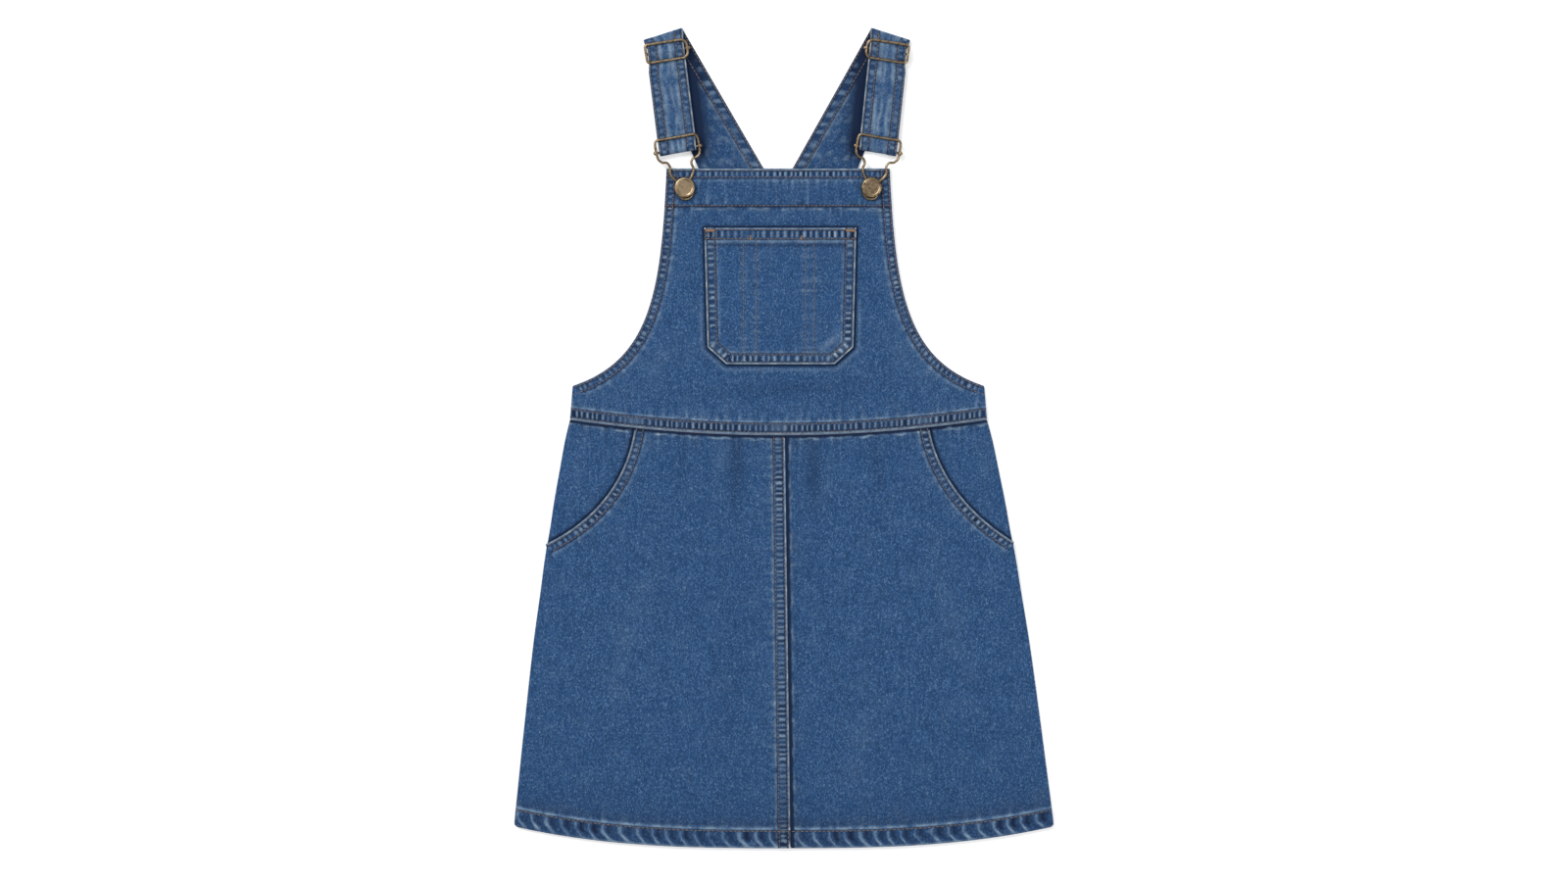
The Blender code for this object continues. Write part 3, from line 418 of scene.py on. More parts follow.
def hem_puckers(spec, depth, along, busy):
    """A roped hem: slanting ridges that fork low down, blotches, and dark hollows between."""
    lean = 0.75 * np.maximum(8.0 - depth, 0.0)
    drift = 0.20 * ripple(along / 13.0, spec.seed)
    turns, fork, short = ((along - slant * lean + start) / spec.pitch + drift
                          for slant, start in ((1.0, 0.0), (2.1, 3.0), (0.6, 5.6)))
    low_down, high_up = 1 - smooth((depth - 3.5) / 4.5), smooth((depth - 5.0) / 4.0)
    thick = 0.135 + 0.050 * ripple(along / 8.0, spec.seed + 7)
    ridge = bump(from_whole(turns), thick) * (0.35 + 0.60 * busy)
    ridge += 0.50 * low_down * busy * bump(from_whole(fork), 0.11)
    ridge += 0.34 * high_up * (1 - busy) * bump(from_whole(short), 0.09)
    blotch = np.clip(ripple(along / 2.7, 2.0) * ripple(depth / 1.9 + along / 9.0, 4.0), 0, 1)
    hollow = bump(from_whole(turns - 0.42), 0.19) * smooth((depth - 3.8) / 3.2)
    hollow = hollow * np.clip(0.62 + 0.55 * ripple(along / 11.0, spec.seed + 9), 0, 1)
    crest = 0.47 * ridge + 0.26 * blotch - 0.17 - 0.46 * hollow
    last = spec.rows[-1]
    between = smooth((depth + 0.6) / 1.6) * (1 - smooth((depth - last + 1.1) / 1.4))
    return crest, between, turns * 2


class Relief:
    """Lift in mm, worn paleness and shade of a face, gathered from its margins and creases."""

    def __init__(self, shape):
        self.lift = np.zeros(shape)
        self.wear = np.zeros(shape)
        self.shade = np.zeros(shape)

    def margin(self, kind, depth, along, strength=1.0, worn=1.0, quiet=0.0):
        """A turned margin: depth is the distance in from its edge, along runs with it.

        worn is how pale its folded edge is (a less worn edge gets painted shade), and quiet calms
        its puckers where they are shown flat.
        """
        spec = MARGINS[kind]
        last = spec.rows[-1]
        contrast = spec.pucker / PLAIN_PUCKER
        inside = (1 - smooth((depth - spec.width) / STEP)) * strength
        busy = 0.64 + 0.36 * np.clip(ripple(along / 15.0, spec.seed + 3), -1, 1)
        busy = busy * (1 - quiet)
        puckers = hem_puckers if kind == "hem" else seam_puckers
        crest, between, phase = puckers(spec, depth, along, busy)
        pull = np.sin(math.tau * phase * 0.5 + 1.0) * busy
        pull = pull * np.exp(-np.maximum(depth - spec.width, 0.0) / 3.0)
        pull = pull * smooth((depth - last - 0.4) / 0.8) * strength
        rows = sum(bump(depth - row, 0.55) for row in spec.rows) * strength
        grooves = sum(bump(depth - row - 0.35, 0.80) for row in spec.rows) * strength
        roll = np.clip(1 - depth / EDGE_ROLL, 0.0, 1.0) ** 2 * strength
        self.lift += spec.turn * inside + spec.pucker * crest * between * inside
        self.lift += 0.16 * pull - 0.24 * rows - 0.40 * roll
        flecks = 0.76 + 0.30 * ripple(along / 2.1, spec.seed + 5)
        self.wear += worn * strength * 1.42 * bump(depth - 0.80, 0.52) * flecks
        bright = np.minimum(1.85 * contrast * np.maximum(crest, 0.0), 0.95)
        rubbed = strength * bright * between * (1 - self.wear)
        self.wear = np.maximum(self.wear, 0.0) + rubbed
        ridge_line = bump(depth - last - spec.ridge_at, 0.95)
        ridge_line = ridge_line * (0.60 + 0.50 * ripple(along / 3.3, spec.seed + 6))
        self.wear += strength * (spec.ridge * np.clip(ridge_line, 0, 1)
                                 + 0.35 * np.maximum(pull, 0.0))
        # painted shade between the rows, deepest in the hollows between puckers, along the stitch
        # grooves and on a less worn folded edge
        self.shade += strength * contrast * (1.70 * np.maximum(-crest, 0.0) + 0.16) * between
        self.shade += 0.95 * grooves + 0.30 * strength * (1 - worn) * bump(depth, 0.9)

    def under_edge(self, depth, along, strength=1.0, seed=31.0, drips=1.0):
        """The face beside or below another piece's raised edge, depth away from it."""
        away = np.maximum(depth, 0.0)
        ragged = 2.2 + 0.45 * ripple(along / 2.2, seed + 3)
        self.shade += strength * (1.40 * np.exp(-(away / ragged) ** 4) + 0.26 * np.exp(-away / 6.0))
        drip = 3.1 + 0.8 * ripple(along / 2.6, seed)
        pale = (0.38 + 0.62 * ripple(along / 3.7, seed + 1)) * bump(away - drip, 0.85)
        self.wear += strength * drips * 0.95 * np.clip(pale, 0, 1)
        self.lift += strength * drips * 0.12 * np.clip(pale, 0, 1)

    def ladder(self, depth, along, pitch, seed, reach=5.0, size=0.14):
        """Small uneven pulls that run out of a seam into the field."""
        wave = np.clip(ripple(along * 5.5 / pitch, seed), -1, 1)
        wave = wave * (0.60 + 0.40 * ripple(along / 17.0, seed + 1))
        length = reach * (0.85 + 0.45 * ripple(along / 4.3, seed + 2))
        fade = np.exp(-np.maximum(depth, 0.0) / np.maximum(length, 0.8)) * smooth(depth / 0.8)
        self.lift += size * wave * fade
        self.wear += 0.60 * np.maximum(wave, 0.0) ** 1.5 * fade
        self.shade += 0.62 * np.maximum(-wave, 0.0) * fade

    def rumple(self, x, y, seed, size=0.22):
        """The cloth's slow unevenness."""
        self.lift += size * mottle(x, y, 62.0, seed) + 0.4 * size * mottle(x, y, 23.0, seed + 2)
        self.wear += 0.02 * mottle(x, y, 34.0, seed + 4)

    def crease(self, x, y, place, angle, length, width, height, rub=0.16):
        """One soft crease: place and size in mm, angle in degrees from +X."""
        run = math.radians(angle)
        along = (x - place[0]) * math.cos(run) + (y - place[1]) * math.sin(run)
        across = -(x - place[0]) * math.sin(run) + (y - place[1]) * math.cos(run)
        shape = bump(along, length / 2) * bump(across, width)
        self.lift += height * shape
        self.wear += rub * max(height, 0.0) * shape
        self.shade += 1.8 * max(-height, 0.0) * shape


# ---- meshes ----
def new_object(name, data, finish=None):
    made = bpy.data.objects.new(name, data)
    bpy.context.scene.collection.objects.link(made)
    if finish:
        data.materials.append(bpy.data.materials[finish])
    return made


def coarse(count):
    """Every UNDER_STRIDE-th index of a row or column, with its last."""
    picked = list(range(0, count - 1, UNDER_STRIDE))
    return picked + [count - 1]


def cloth_mesh(name, points, faces, finish, wear, shade):
    """A closed cloth mesh from points in mm; wear and shade are given for its first points."""
    mesh = bpy.data.meshes.new(name)
    mesh.from_pydata((points * MM).tolist(), [], faces)
    for label, values in (("wear", wear), ("shade", shade)):
        whole = np.zeros(len(points), np.float32)
        whole[:values.size] = np.clip(values, 0.0, 1.5).ravel()
        mesh.attributes.new(label, "FLOAT", "POINT").data.foreach_set("value", whole)
    fix = bmesh.new()
    fix.from_mesh(mesh)
    bmesh.ops.recalc_face_normals(fix, faces=fix.faces[:])
    if fix.calc_volume(signed=True) < 0:
        bmesh.ops.reverse_faces(fix, faces=fix.faces[:])
    fix.to_mesh(mesh)
    fix.free()
    mesh.shade_smooth()
    mesh.set_sharp_from_angle(angle=math.radians(60))
    return new_object(name, mesh, finish)


def quads(grid):
    """The faces between the rows and columns of a grid of point numbers."""
    return np.stack([grid[:-1, :-1], grid[:-1, 1:], grid[1:, 1:], grid[1:, :-1]],
                    -1).reshape(-1, 4)


def settle(piece, slot, *nodes):
    """What every piece needs: its body and the solids that it stands for; slot is not used."""
    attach(piece, "root")
    if nodes:
        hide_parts(*nodes)
    return piece


def shell(name, outer, inner, relief, slot="denim", finish="washed_denim"):
    """A closed cloth shell on its solid: a fine outer face, a coarser inner one, and a rim.

    outer and inner are arrays of rows x columns x 3 in millimetres.
    """
    rows, columns = outer.shape[:2]
    picked_rows, picked_columns = coarse(rows), coarse(columns)
    fine = np.arange(rows * columns).reshape(rows, columns)
    low_shape = len(picked_rows), len(picked_columns)
    low = rows * columns + np.arange(math.prod(low_shape)).reshape(low_shape)
    inside = inner[np.ix_(picked_rows, picked_columns)].reshape(-1, 3)
    points = np.vstack([outer.reshape(-1, 3), inside])
    faces = quads(fine).tolist() + quads(low)[:, [0, 3, 2, 1]].tolist()
    rims = (
        (fine[0, :], low[0, :], picked_columns, 1), (fine[-1, :], low[-1, :], picked_columns, -1),
        (fine[:, 0], low[:, 0], picked_rows, -1), (fine[:, -1], low[:, -1], picked_rows, 1),
    )
    for upper, lower, picked, way in rims:
        for index, (start, end) in enumerate(zip(picked, picked[1:])):
            ring = upper[start:end + 1].tolist() + [int(lower[index + 1]), int(lower[index])]
            faces.append(ring[::-1] if way > 0 else ring)
    piece = cloth_mesh(f"{name}_cloth", points, faces, finish, relief.wear, relief.shade)
    return settle(piece, slot, name)


def laid(piece):
    """Works out a piece's corners in space and keeps nothing of them."""
    corners = np.array([piece.matrix_world @ Vector(corner) for corner in piece.bound_box])


def fine_marks(length, start, start_step, end):
    """Marks along an edge, closer together over its first and last millimetres."""
    marks = np.concatenate([np.arange(0, start, start_step), even(start, length - end, FINE),
                            length - np.arange(0, end, 0.6)[::-1]])
    return np.unique(np.round(marks, 4))[:, None]


def edge_band(edge, marks, depths):
    """Rows that run in from an edge: their starts, and their places at the depths."""
    place = edge.at(marks)
    inward = edge.inward(marks, CORNER_REACH)
    inward[0, 0] = inward[-1, 0] = (-1.0, 0.0)
    return place, place + inward * depths[None, :, None]


def filled(band, depths, inner_out, middle_y):
    """A band's rows carried on to the garment's middle: out, y and distance from the edge."""
    inmost = band[:, -1:, :]
    out = np.hstack([band[..., 0], inner_out])
    y = np.hstack([band[..., 1], row_y(np.maximum(inner_out, 0), middle_y, inmost)])
    from_edge = np.hstack([np.broadcast_to(depths, band.shape[:2]),
                           depths[-1] + inmost[..., 0] - inner_out])
    return out, y, from_edge


def world(side, out, y, z):
    """Places of the garment's half as points in space."""
    out, y, z = np.broadcast_arrays(out, y, z)
    return np.stack([centre_x(y) + side * out, y, z], axis=-1)


# ---- sewing thread ----
class Thread:
    """Topstitches gathered into one mesh, each laid on the face below it."""

    def __init__(self, face):
        self.tree = BVHTree.FromObject(face, bpy.context.evaluated_depsgraph_get())
        self.sewing = bpy.context.scene.dress_sewing
        self.points, self.faces, self.tints = [], [], []
        self.count = 0

    def drop(self, place):
        """The face's place below a point in the plane, or None beside the face."""
        above = Vector((place[0], place[1], ABOVE_ALL)) * MM
        hit = self.tree.ray_cast(above, Vector((0, 0, -1)))[0]
        return None if hit is None else hit / MM

    def stitch(self, start, end, radius):
        """One stitch from start to end, domed over the cloth and dipping in at both ends."""
        share = np.array([0.0, 0.12, 0.5, 0.88, 1.0])
        lift = np.array([-0.35, 0.45, 0.75, 0.45, -0.35]) * radius
        girth = np.array([0.55, 0.95, 1.0, 0.95, 0.55]) * radius
        along = Vector((end[0] - start[0], end[1] - start[1], 0)).normalized()
        across = Vector((-along.y, along.x, 0))
        base = len(self.points)
        for part, rise, thick in zip(share, lift, girth):
            place = mix(np.array(start), np.array(end), part)
            hit = self.drop(place)
            if hit is None:
                del self.points[base:]
                return
            for turn in range(6):
                angle = turn * math.tau / 6
                self.points.append((hit + Vector((0, 0, rise)) + across * math.cos(angle) * thick
                                    + Vector((0, 0, math.sin(angle) * thick))) * MM)
        for ring in range(4):
            for turn in range(6):
                a = base + ring * 6 + turn
                b = base + ring * 6 + (turn + 1) % 6
                self.faces.append((a, b, b + 6, a + 6))
        self.faces.append(tuple(range(base + 5, base - 1, -1)))
        self.faces.append(tuple(range(base + 24, base + 30)))
        tint = 0.5 + 0.5 * math.sin(self.count * 2.399 + 0.7 * math.sin(self.count * 0.31))
        self.tints += [tint] * (len(self.points) - base)
        self.count += 1

    def row(self, points, pitch=None):
        """A row of stitches along a polyline of places in mm."""
        line = Edge(points)
        pitch = pitch or self.sewing.stitch_pitch / MM
        radius = self.sewing.thread / MM / 2
        steps = max(int(line.length / pitch), 1)
        pitch = line.length / steps
        for index in range(steps):
            start = line.at(index * pitch + 0.12 * pitch)
            end = line.at(index * pitch + 0.86 * pitch)
            self.stitch(start, end, radius)

    def tack(self, place, angle, length=6.5, width=2.0):
        """A bar tack: tight zigzag stitches across a short bar, angle in degrees."""
        run = math.radians(angle)
        along = np.array([math.cos(run), math.sin(run)])
        across = np.array([-along[1], along[0]])
        count = int(length / 0.40)
        for index in range(count):
            middle = np.array(place) + along * (index / (count - 1) - 0.5) * length
            lean = along * 0.12 * (-1) ** index
            self.stitch(middle - across * width / 2 - lean, middle + across * width / 2 + lean,
                        self.sewing.thread / MM / 2)

    def finish(self, name, finish="topstitch_thread"):
        mesh = bpy.data.meshes.new(name)
        mesh.from_pydata(self.points, [], self.faces)
        tint = mesh.attributes.new("tint", "FLOAT", "POINT")
        tint.data.foreach_set("value", np.array(self.tints, np.float32))
        mesh.shade_smooth()
        return settle(new_object(name, mesh, finish), "denim")


def offset_line(edge, depth, start=0.0, end=None, step=2.0):
    """A line inside an edge curve, depth from it."""
    end = edge.length if end is None else end
    marks = np.linspace(start, end, max(int((end - start) / step), 2))
    return edge.at(marks) + edge.inward(marks) * depth


def on_side(side, line):
    """A half-garment line as places in the plane."""
    return np.stack([centre_x(line[:, 1]) + side * line[:, 0], line[:, 1]], axis=-1)


# ---- materials ----
class Field:
    """A value or colour that varies over the surface, with plain arithmetic."""

    def __init__(self, nodes, socket):
        self.nodes, self.socket = nodes, socket

    def __add__(self, other):
        return self.nodes.math("ADD", self, other)

    def __sub__(self, other):
        return self.nodes.math("SUBTRACT", self, other)

    def __rsub__(self, other):
        return self.nodes.math("SUBTRACT", other, self)

    def __mul__(self, other):
        return self.nodes.math("MULTIPLY", self, other)

    def __abs__(self):
        return self.nodes.math("ABSOLUTE", self)

    def clamped(self):
        self.socket.node.use_clamp = True
        return self


class Nodes:
    """Short hand for laying out a node tree."""

    def __init__(self, tree):
        self.tree = tree

    def put(self, socket, value):
        """Links a field to a socket, or sets the socket's own value."""
        if isinstance(value, Field):
            self.tree.links.new(value.socket, socket)
        else:
            socket.default_value = value

    def add(self, kind, inputs, output=0, **settings):
        node = self.tree.nodes.new(f"ShaderNode{kind}")
        for key, value in settings.items():
            setattr(node, key, value)
        for key, value in inputs.items():
            self.put(node.inputs[key], value)
        return Field(self, node.outputs[output])

    def math(self, operation, *values):
        return self.add("Math", dict(enumerate(values)), operation=operation)

    def blend(self, share, first, second):
        return self.add("Mix", {0: share, 6: first, 7: second}, 2, data_type="RGBA")

    def ramp(self, value, low, high):
        return self.add("MapRange", {"From Min": low, "From Max": high, "Value": value}, "Result",
                        interpolation_type="SMOOTHSTEP")

    def noise(self, vector, scale, detail=2.0, rough=0.5):
        return self.add("TexNoise", {"Scale": scale, "Detail": detail, "Roughness": rough,
                                     "Vector": vector}, "Fac")

    def stretched(self, vector, scales, turn=0.0):
        return self.add("Mapping", {"Scale": scales, "Rotation": (0, 0, turn), "Vector": vector})

    def place(self):
        return self.add("TexCoord", {}, "Object")

    def part(self, vector):
        """The x, y and z of a vector."""
        split = self.add("SeparateXYZ", {0: vector}).socket.node
        return [Field(self, socket) for socket in split.outputs]

    def attribute(self, name):
        return self.add("Attribute", {}, "Fac", attribute_name=name)

    def bump(self, shader, height, strength, distance):
        relief = self.add("Bump", {"Strength": strength, "Distance": distance, "Height": height},
                          "Normal")
        self.put(shader["Normal"], relief)


def new_group(name, **inputs):
    """A node group that puts out a colour, a height and a roughness."""
    group = bpy.data.node_groups.new(name, "ShaderNodeTree")
    for label, default in inputs.items():
        kind = "NodeSocketColor" if isinstance(default, tuple) else "NodeSocketFloat"
        socket = group.interface.new_socket(label, in_out="INPUT", socket_type=kind)
        socket.default_value = default
    for label, kind in (("Color", "Color"), ("Height", "Float"), ("Roughness", "Float")):
        group.interface.new_socket(label, in_out="OUTPUT", socket_type=f"NodeSocket{kind}")
    nodes = Nodes(group)
    given, out = (group.nodes.new(f"NodeGroup{end}") for end in ("Input", "Output"))
    return nodes, [Field(nodes, given.outputs[label]) for label in inputs], out.inputs


def twill_group():
    """Washed denim: diagonal twill, pale weft flecks, warp slubs, slow mottling and painted shade.
    """
    nodes, (base, pale, raw, deep, wear, shade), out = new_group(
        "washed_twill", Base=(0.03, 0.08, 0.18, 1), Pale=(0.3, 0.4, 0.5, 1),
        Raw=(0.6, 0.6, 0.6, 1), Deep=(0.01, 0.03, 0.09, 1), Wear=0.0, Shade=0.0)
    place = nodes.place()
    fleck = nodes.noise(nodes.stretched(place, (900, 560, 600)), 1.0, 2.0, 0.7)
    slub = nodes.noise(nodes.stretched(place, (560, 70, 300)), 1.0, 2.0, 0.6)
    bent = nodes.noise(nodes.stretched(place, (760, 470, 300)), 1.0, 1.0, 0.4)
    patch = nodes.noise(place, 60.0, 2.0, 0.5)
    x, y, _ = nodes.part(place)
    slant = x * 6100.0 + y * -3700.0
    twill = nodes.math("SINE", slant + (fleck * 2.8 + slub * 5.0))
    grain = fleck * 0.62 + slub * 0.24 + twill * 0.035 + patch * 0.04
    dark = 1.0 - nodes.ramp(grain, 0.33, 0.54)
    tone = nodes.blend(dark * 0.55, base, deep)
    worm = 1.0 - nodes.ramp(abs(bent - 0.5), 0.0, 0.055)
    flecks = worm * nodes.ramp(fleck, 0.42, 0.62) * 0.40 + nodes.ramp(grain, 0.48, 0.70) * 0.22
    tone = nodes.blend(flecks, tone, pale)
    tone = nodes.blend((wear * (fleck * 1.1 + 0.42)).clamped(), tone, pale)
    tone = nodes.blend(((wear - 0.85) * 1.6).clamped(), tone, raw)
    # painted shade: the Shade attribute darkens the colour towards Deep
    nodes.put(out["Color"], nodes.blend((shade * 0.85).clamped(), tone, deep))
    nodes.put(out["Height"], twill * 0.25 + fleck * 0.9 + slub * 0.5)
    nodes.put(out["Roughness"], fleck * 0.12 + 0.80)


def patina_group():
    """Antique metal: dark in the hollows, rubbed bright on the high faces, faint scratches."""
    nodes, (bright, dark, amount), out = new_group(
        "rubbed_patina", Bright=(0.6, 0.45, 0.25, 1), Dark=(0.12, 0.08, 0.04, 1), Amount=0.5)
    place = nodes.place()
    stain = nodes.noise(place, 420.0, 3.0, 0.6)
    fine = nodes.noise(nodes.stretched(place, (2600, 900, 900), 0.5), 1.0, 2.0, 0.6)
    _, _, up = nodes.part(nodes.add("NewGeometry", {}, "Normal"))
    worn = nodes.ramp(up, 0.0, 0.95) * nodes.ramp(stain, 0.3, 0.62)
    # amount lightens the whole part; on the left button cap its high value is a painted reflection
    share = (worn * 0.8 + amount * 0.3).clamped()
    nodes.put(out["Color"], nodes.blend(share, dark, bright))
    nodes.put(out["Height"], fine)
    nodes.put(out["Roughness"], 0.55 - worn * 0.2)


def new_material(name, values):
    """A material with plain values on its shader's own sockets."""
    made = bpy.data.materials.new(name)
    made.use_nodes = True
    shader = made.node_tree.nodes["Principled BSDF"].inputs
    for label, value in values.items():
        shader[label].default_value = value
    return made, Nodes(made.node_tree), shader


def grouped_material(name, group, inputs, strength, distance, values):
    """A material fed by a node group; an input given as a word is read from that attribute."""
    _, nodes, shader = new_material(name, values)
    node = nodes.add("Group", {}, 0, node_tree=bpy.data.node_groups[group]).socket.node
    for label, value in inputs.items():
        if isinstance(value, str):
            value = nodes.attribute(value)
        elif not isinstance(value, float):
            value = (*value, 1.0)
        nodes.put(node.inputs[label], value)
    color, height, rough = (Field(nodes, socket) for socket in node.outputs)
    nodes.put(shader["Base Color"], color)
    nodes.put(shader["Roughness"], rough)
    nodes.bump(shader, height, strength, distance)


def denim_material(name, base, pale, raw, deep):
    inputs = {"Base": base, "Pale": pale, "Raw": raw, "Deep": deep, "Wear": "wear",
              "Shade": "shade"}
    grouped_material(name, "washed_twill", inputs, 0.6, 0.00018, {
        "Sheen Weight": 0.03, "Sheen Roughness": 0.6, "Specular IOR Level": 0.12})


def brass_material(name, bright, dark, amount):
    inputs = {"Bright": bright, "Dark": dark, "Amount": amount}
    grouped_material(name, "rubbed_patina", inputs, 0.25, 0.00006, {"Metallic": 1.0})


def thread_material(name, colour):
    _, nodes, shader = new_material(name, {"Roughness": 0.62, "Sheen Weight": 0.2})
    tint = nodes.attribute("tint")
    place = nodes.place()
    ply = nodes.noise(nodes.stretched(place, (3200, 3200, 3200), 0.8), 1.0, 1.0)
    share = (tint + ply) * 0.5
    darker = tuple(0.42 * part for part in colour)
    faded = (0.80 * colour[0], 1.05 * colour[1], 1.25 * colour[2])
    drift = nodes.ramp(nodes.noise(place, 55.0, 1.0), 0.42, 0.60)
    body = nodes.blend(drift, (*colour, 1.0), (*faded, 1.0))
    nodes.put(shader["Base Color"], nodes.blend(share, (*darker, 1.0), body))
    nodes.bump(shader, ply, 0.5, 0.0001)


# ---- properties ----
def colour_property(name, description, default):
    return FloatVectorProperty(name=name, description=description, default=default, size=3,
                               subtype="COLOR", min=0.0, max=1.0)


class DressClothSettings(bpy.types.PropertyGroup):
    """Colours and relief of the cloth."""
    base: colour_property("Denim", "The washed denim's middle tone", (0.0186, 0.0705, 0.186))
    pale: colour_property("Worn denim", "Where crests are rubbed", (0.235, 0.330, 0.425))
    raw: colour_property("Bare yarn", "Folded edges rubbed to the bare yarn", (0.80, 0.79, 0.75))
    # deep is the cloth's darker yarns and also the colour of the painted shade in hollows, grooves
    # and under raised edges
    deep: colour_property("Dark denim and painted shade", "Painted shade, and the cloth's darker yarns",
                          (0.005, 0.014, 0.042))
    rumple: FloatProperty(name="Rumple", description="Slow unevenness of the cloth",
                          default=0.00017, unit="LENGTH")


class DressSewingSettings(bpy.types.PropertyGroup):
    """The topstitching."""
    thread_colour: colour_property("Thread", "The topstitching thread", (0.27, 0.175, 0.110))
    tack_colour: colour_property("Bar tacks", "The thread of the bar tacks", (0.38, 0.20, 0.10))
    worn_colour: colour_property("Worn thread", "The faded thread of the pen slots",
                                 (0.22, 0.18, 0.135))
    thread: FloatProperty(name="Thread", description="Diameter of the thread",
                          default=0.0005, unit="LENGTH")
    stitch_pitch: FloatProperty(name="Stitch", description="Length of a stitch with its gap",
                                default=0.0031, unit="LENGTH")


class DressHardwareSettings(bpy.types.PropertyGroup):
    """The wire buckles, sliders and the buttons."""
    bright: colour_property("Brass", "Rubbed antique brass", (0.335, 0.252, 0.158))
    dark: colour_property("Patina", "Brass darkened with age", (0.075, 0.050, 0.030))
    sides: IntProperty(name="Wire sides", description="Fineness of the wires", default=5)


class DressStageSettings(bpy.types.PropertyGroup):
    """Camera, floor and light."""
    camera_height: FloatProperty(name="Camera height", description="Above the floor",
                                 default=3.0, unit="LENGTH")
    view_width: FloatProperty(name="View width", description="Seen across at the garment",
                              default=1.224, unit="LENGTH")
    key_power: FloatProperty(name="Key light", description="Power of the soft key light",
                             default=75.0, unit="POWER")
    glow: FloatProperty(name="Floor glow", description="Light of the floor itself", default=0.22)
    sky: FloatProperty(name="Fill", description="Strength of the even fill light", default=0.50)


# ---- operators: cloth ----
class DRESS_OT_materials(bpy.types.Operator):
    """Make the denim, thread and brass"""
    bl_idname = "dress.materials"
    bl_label = "Materials"

    def execute(self, context):
        scene = context.scene
        cloth, sewing, metal = scene.dress_cloth, scene.dress_sewing, scene.dress_hardware
        twill_group()
        patina_group()
        colours = (cloth.base, cloth.pale, cloth.raw, cloth.deep)
        denim_material("washed_denim", *colours)
        # A darker copy of the denim for the back pieces: painted shade, since they show only in the
        # narrow gaps between the front pieces.
        shaded = [tuple(0.62 * part for part in colour) for colour in colours]
        denim_material("washed_denim_painted_shade", *shaded)
        thread_material("topstitch_thread", sewing.thread_colour)
        thread_material("tack_thread", sewing.tack_colour)
        thread_material("worn_thread", sewing.worn_colour)
        brass_material("brass_wire", metal.bright, metal.dark, 0.5)
        # the two caps are one brass: the left cap's higher amount is a painted reflection that
        # makes it lighter than the right one
        brass_material("brass_cap_left", metal.bright, metal.dark, 0.9)
        brass_material("brass_cap_right", metal.bright, metal.dark, 0.1)
        return {"FINISHED"}


class DRESS_OT_backs(bpy.types.Operator):
    """Make the bodice back and the skirt back, flat on the surface"""
    bl_idname = "dress.backs"
    bl_label = "Back pieces"

    def execute(self, context):
        seam = Edge(side_seam(HEM.side_y + BACK_INSET, WAIST.side_y - GAP, BACK_INSET))
        jobs = (
            ("bodice_back", back_edge(), WAIST.middle_y, BACK_TOP_Y, False),
            ("skirt_back", seam, HEM.middle_y + BACK_INSET, WAIST.middle_y - GAP, True),
        )
        for name, edge, low_y, high_y, hemmed in jobs:
            marks = even(0, edge.length, 3.0)[:, None]
            side = edge.at(marks)
            share = np.linspace(-1, 1, 121)[None, :]
            out = side[..., 0] * share
            middle = mix(low_y, high_y, marks / edge.length)
            y = row_y(out, middle, side)
            if hemmed:
                shift_out, shift_y = soften_corner(side[..., 0] - np.abs(out), y - bow_y(HEM, out))
                out, y = out - np.sign(out) * shift_out, y + shift_y
            thick = CLOTH + (TURN * (1 - smooth((marks - HEM_MARGIN) / STEP)) if hemmed else 0)
            thick = np.broadcast_to(thick, out.shape)
            outer = world(RIGHT, out, y, thick)
            relief = Relief(out.shape)
            relief.rumple(outer[..., 0], y, 9.0)
            inner = world(RIGHT, out, y, np.zeros_like(out))
            # the backs take the darker copy of the denim, which paints shade on them
            piece = shell(name, outer, inner, relief, "denim_inside", "washed_denim_painted_shade")
            laid(piece)
        return {"FINISHED"}


BIB_FIELD = 150             # width that the coarser columns of half the bodice cross


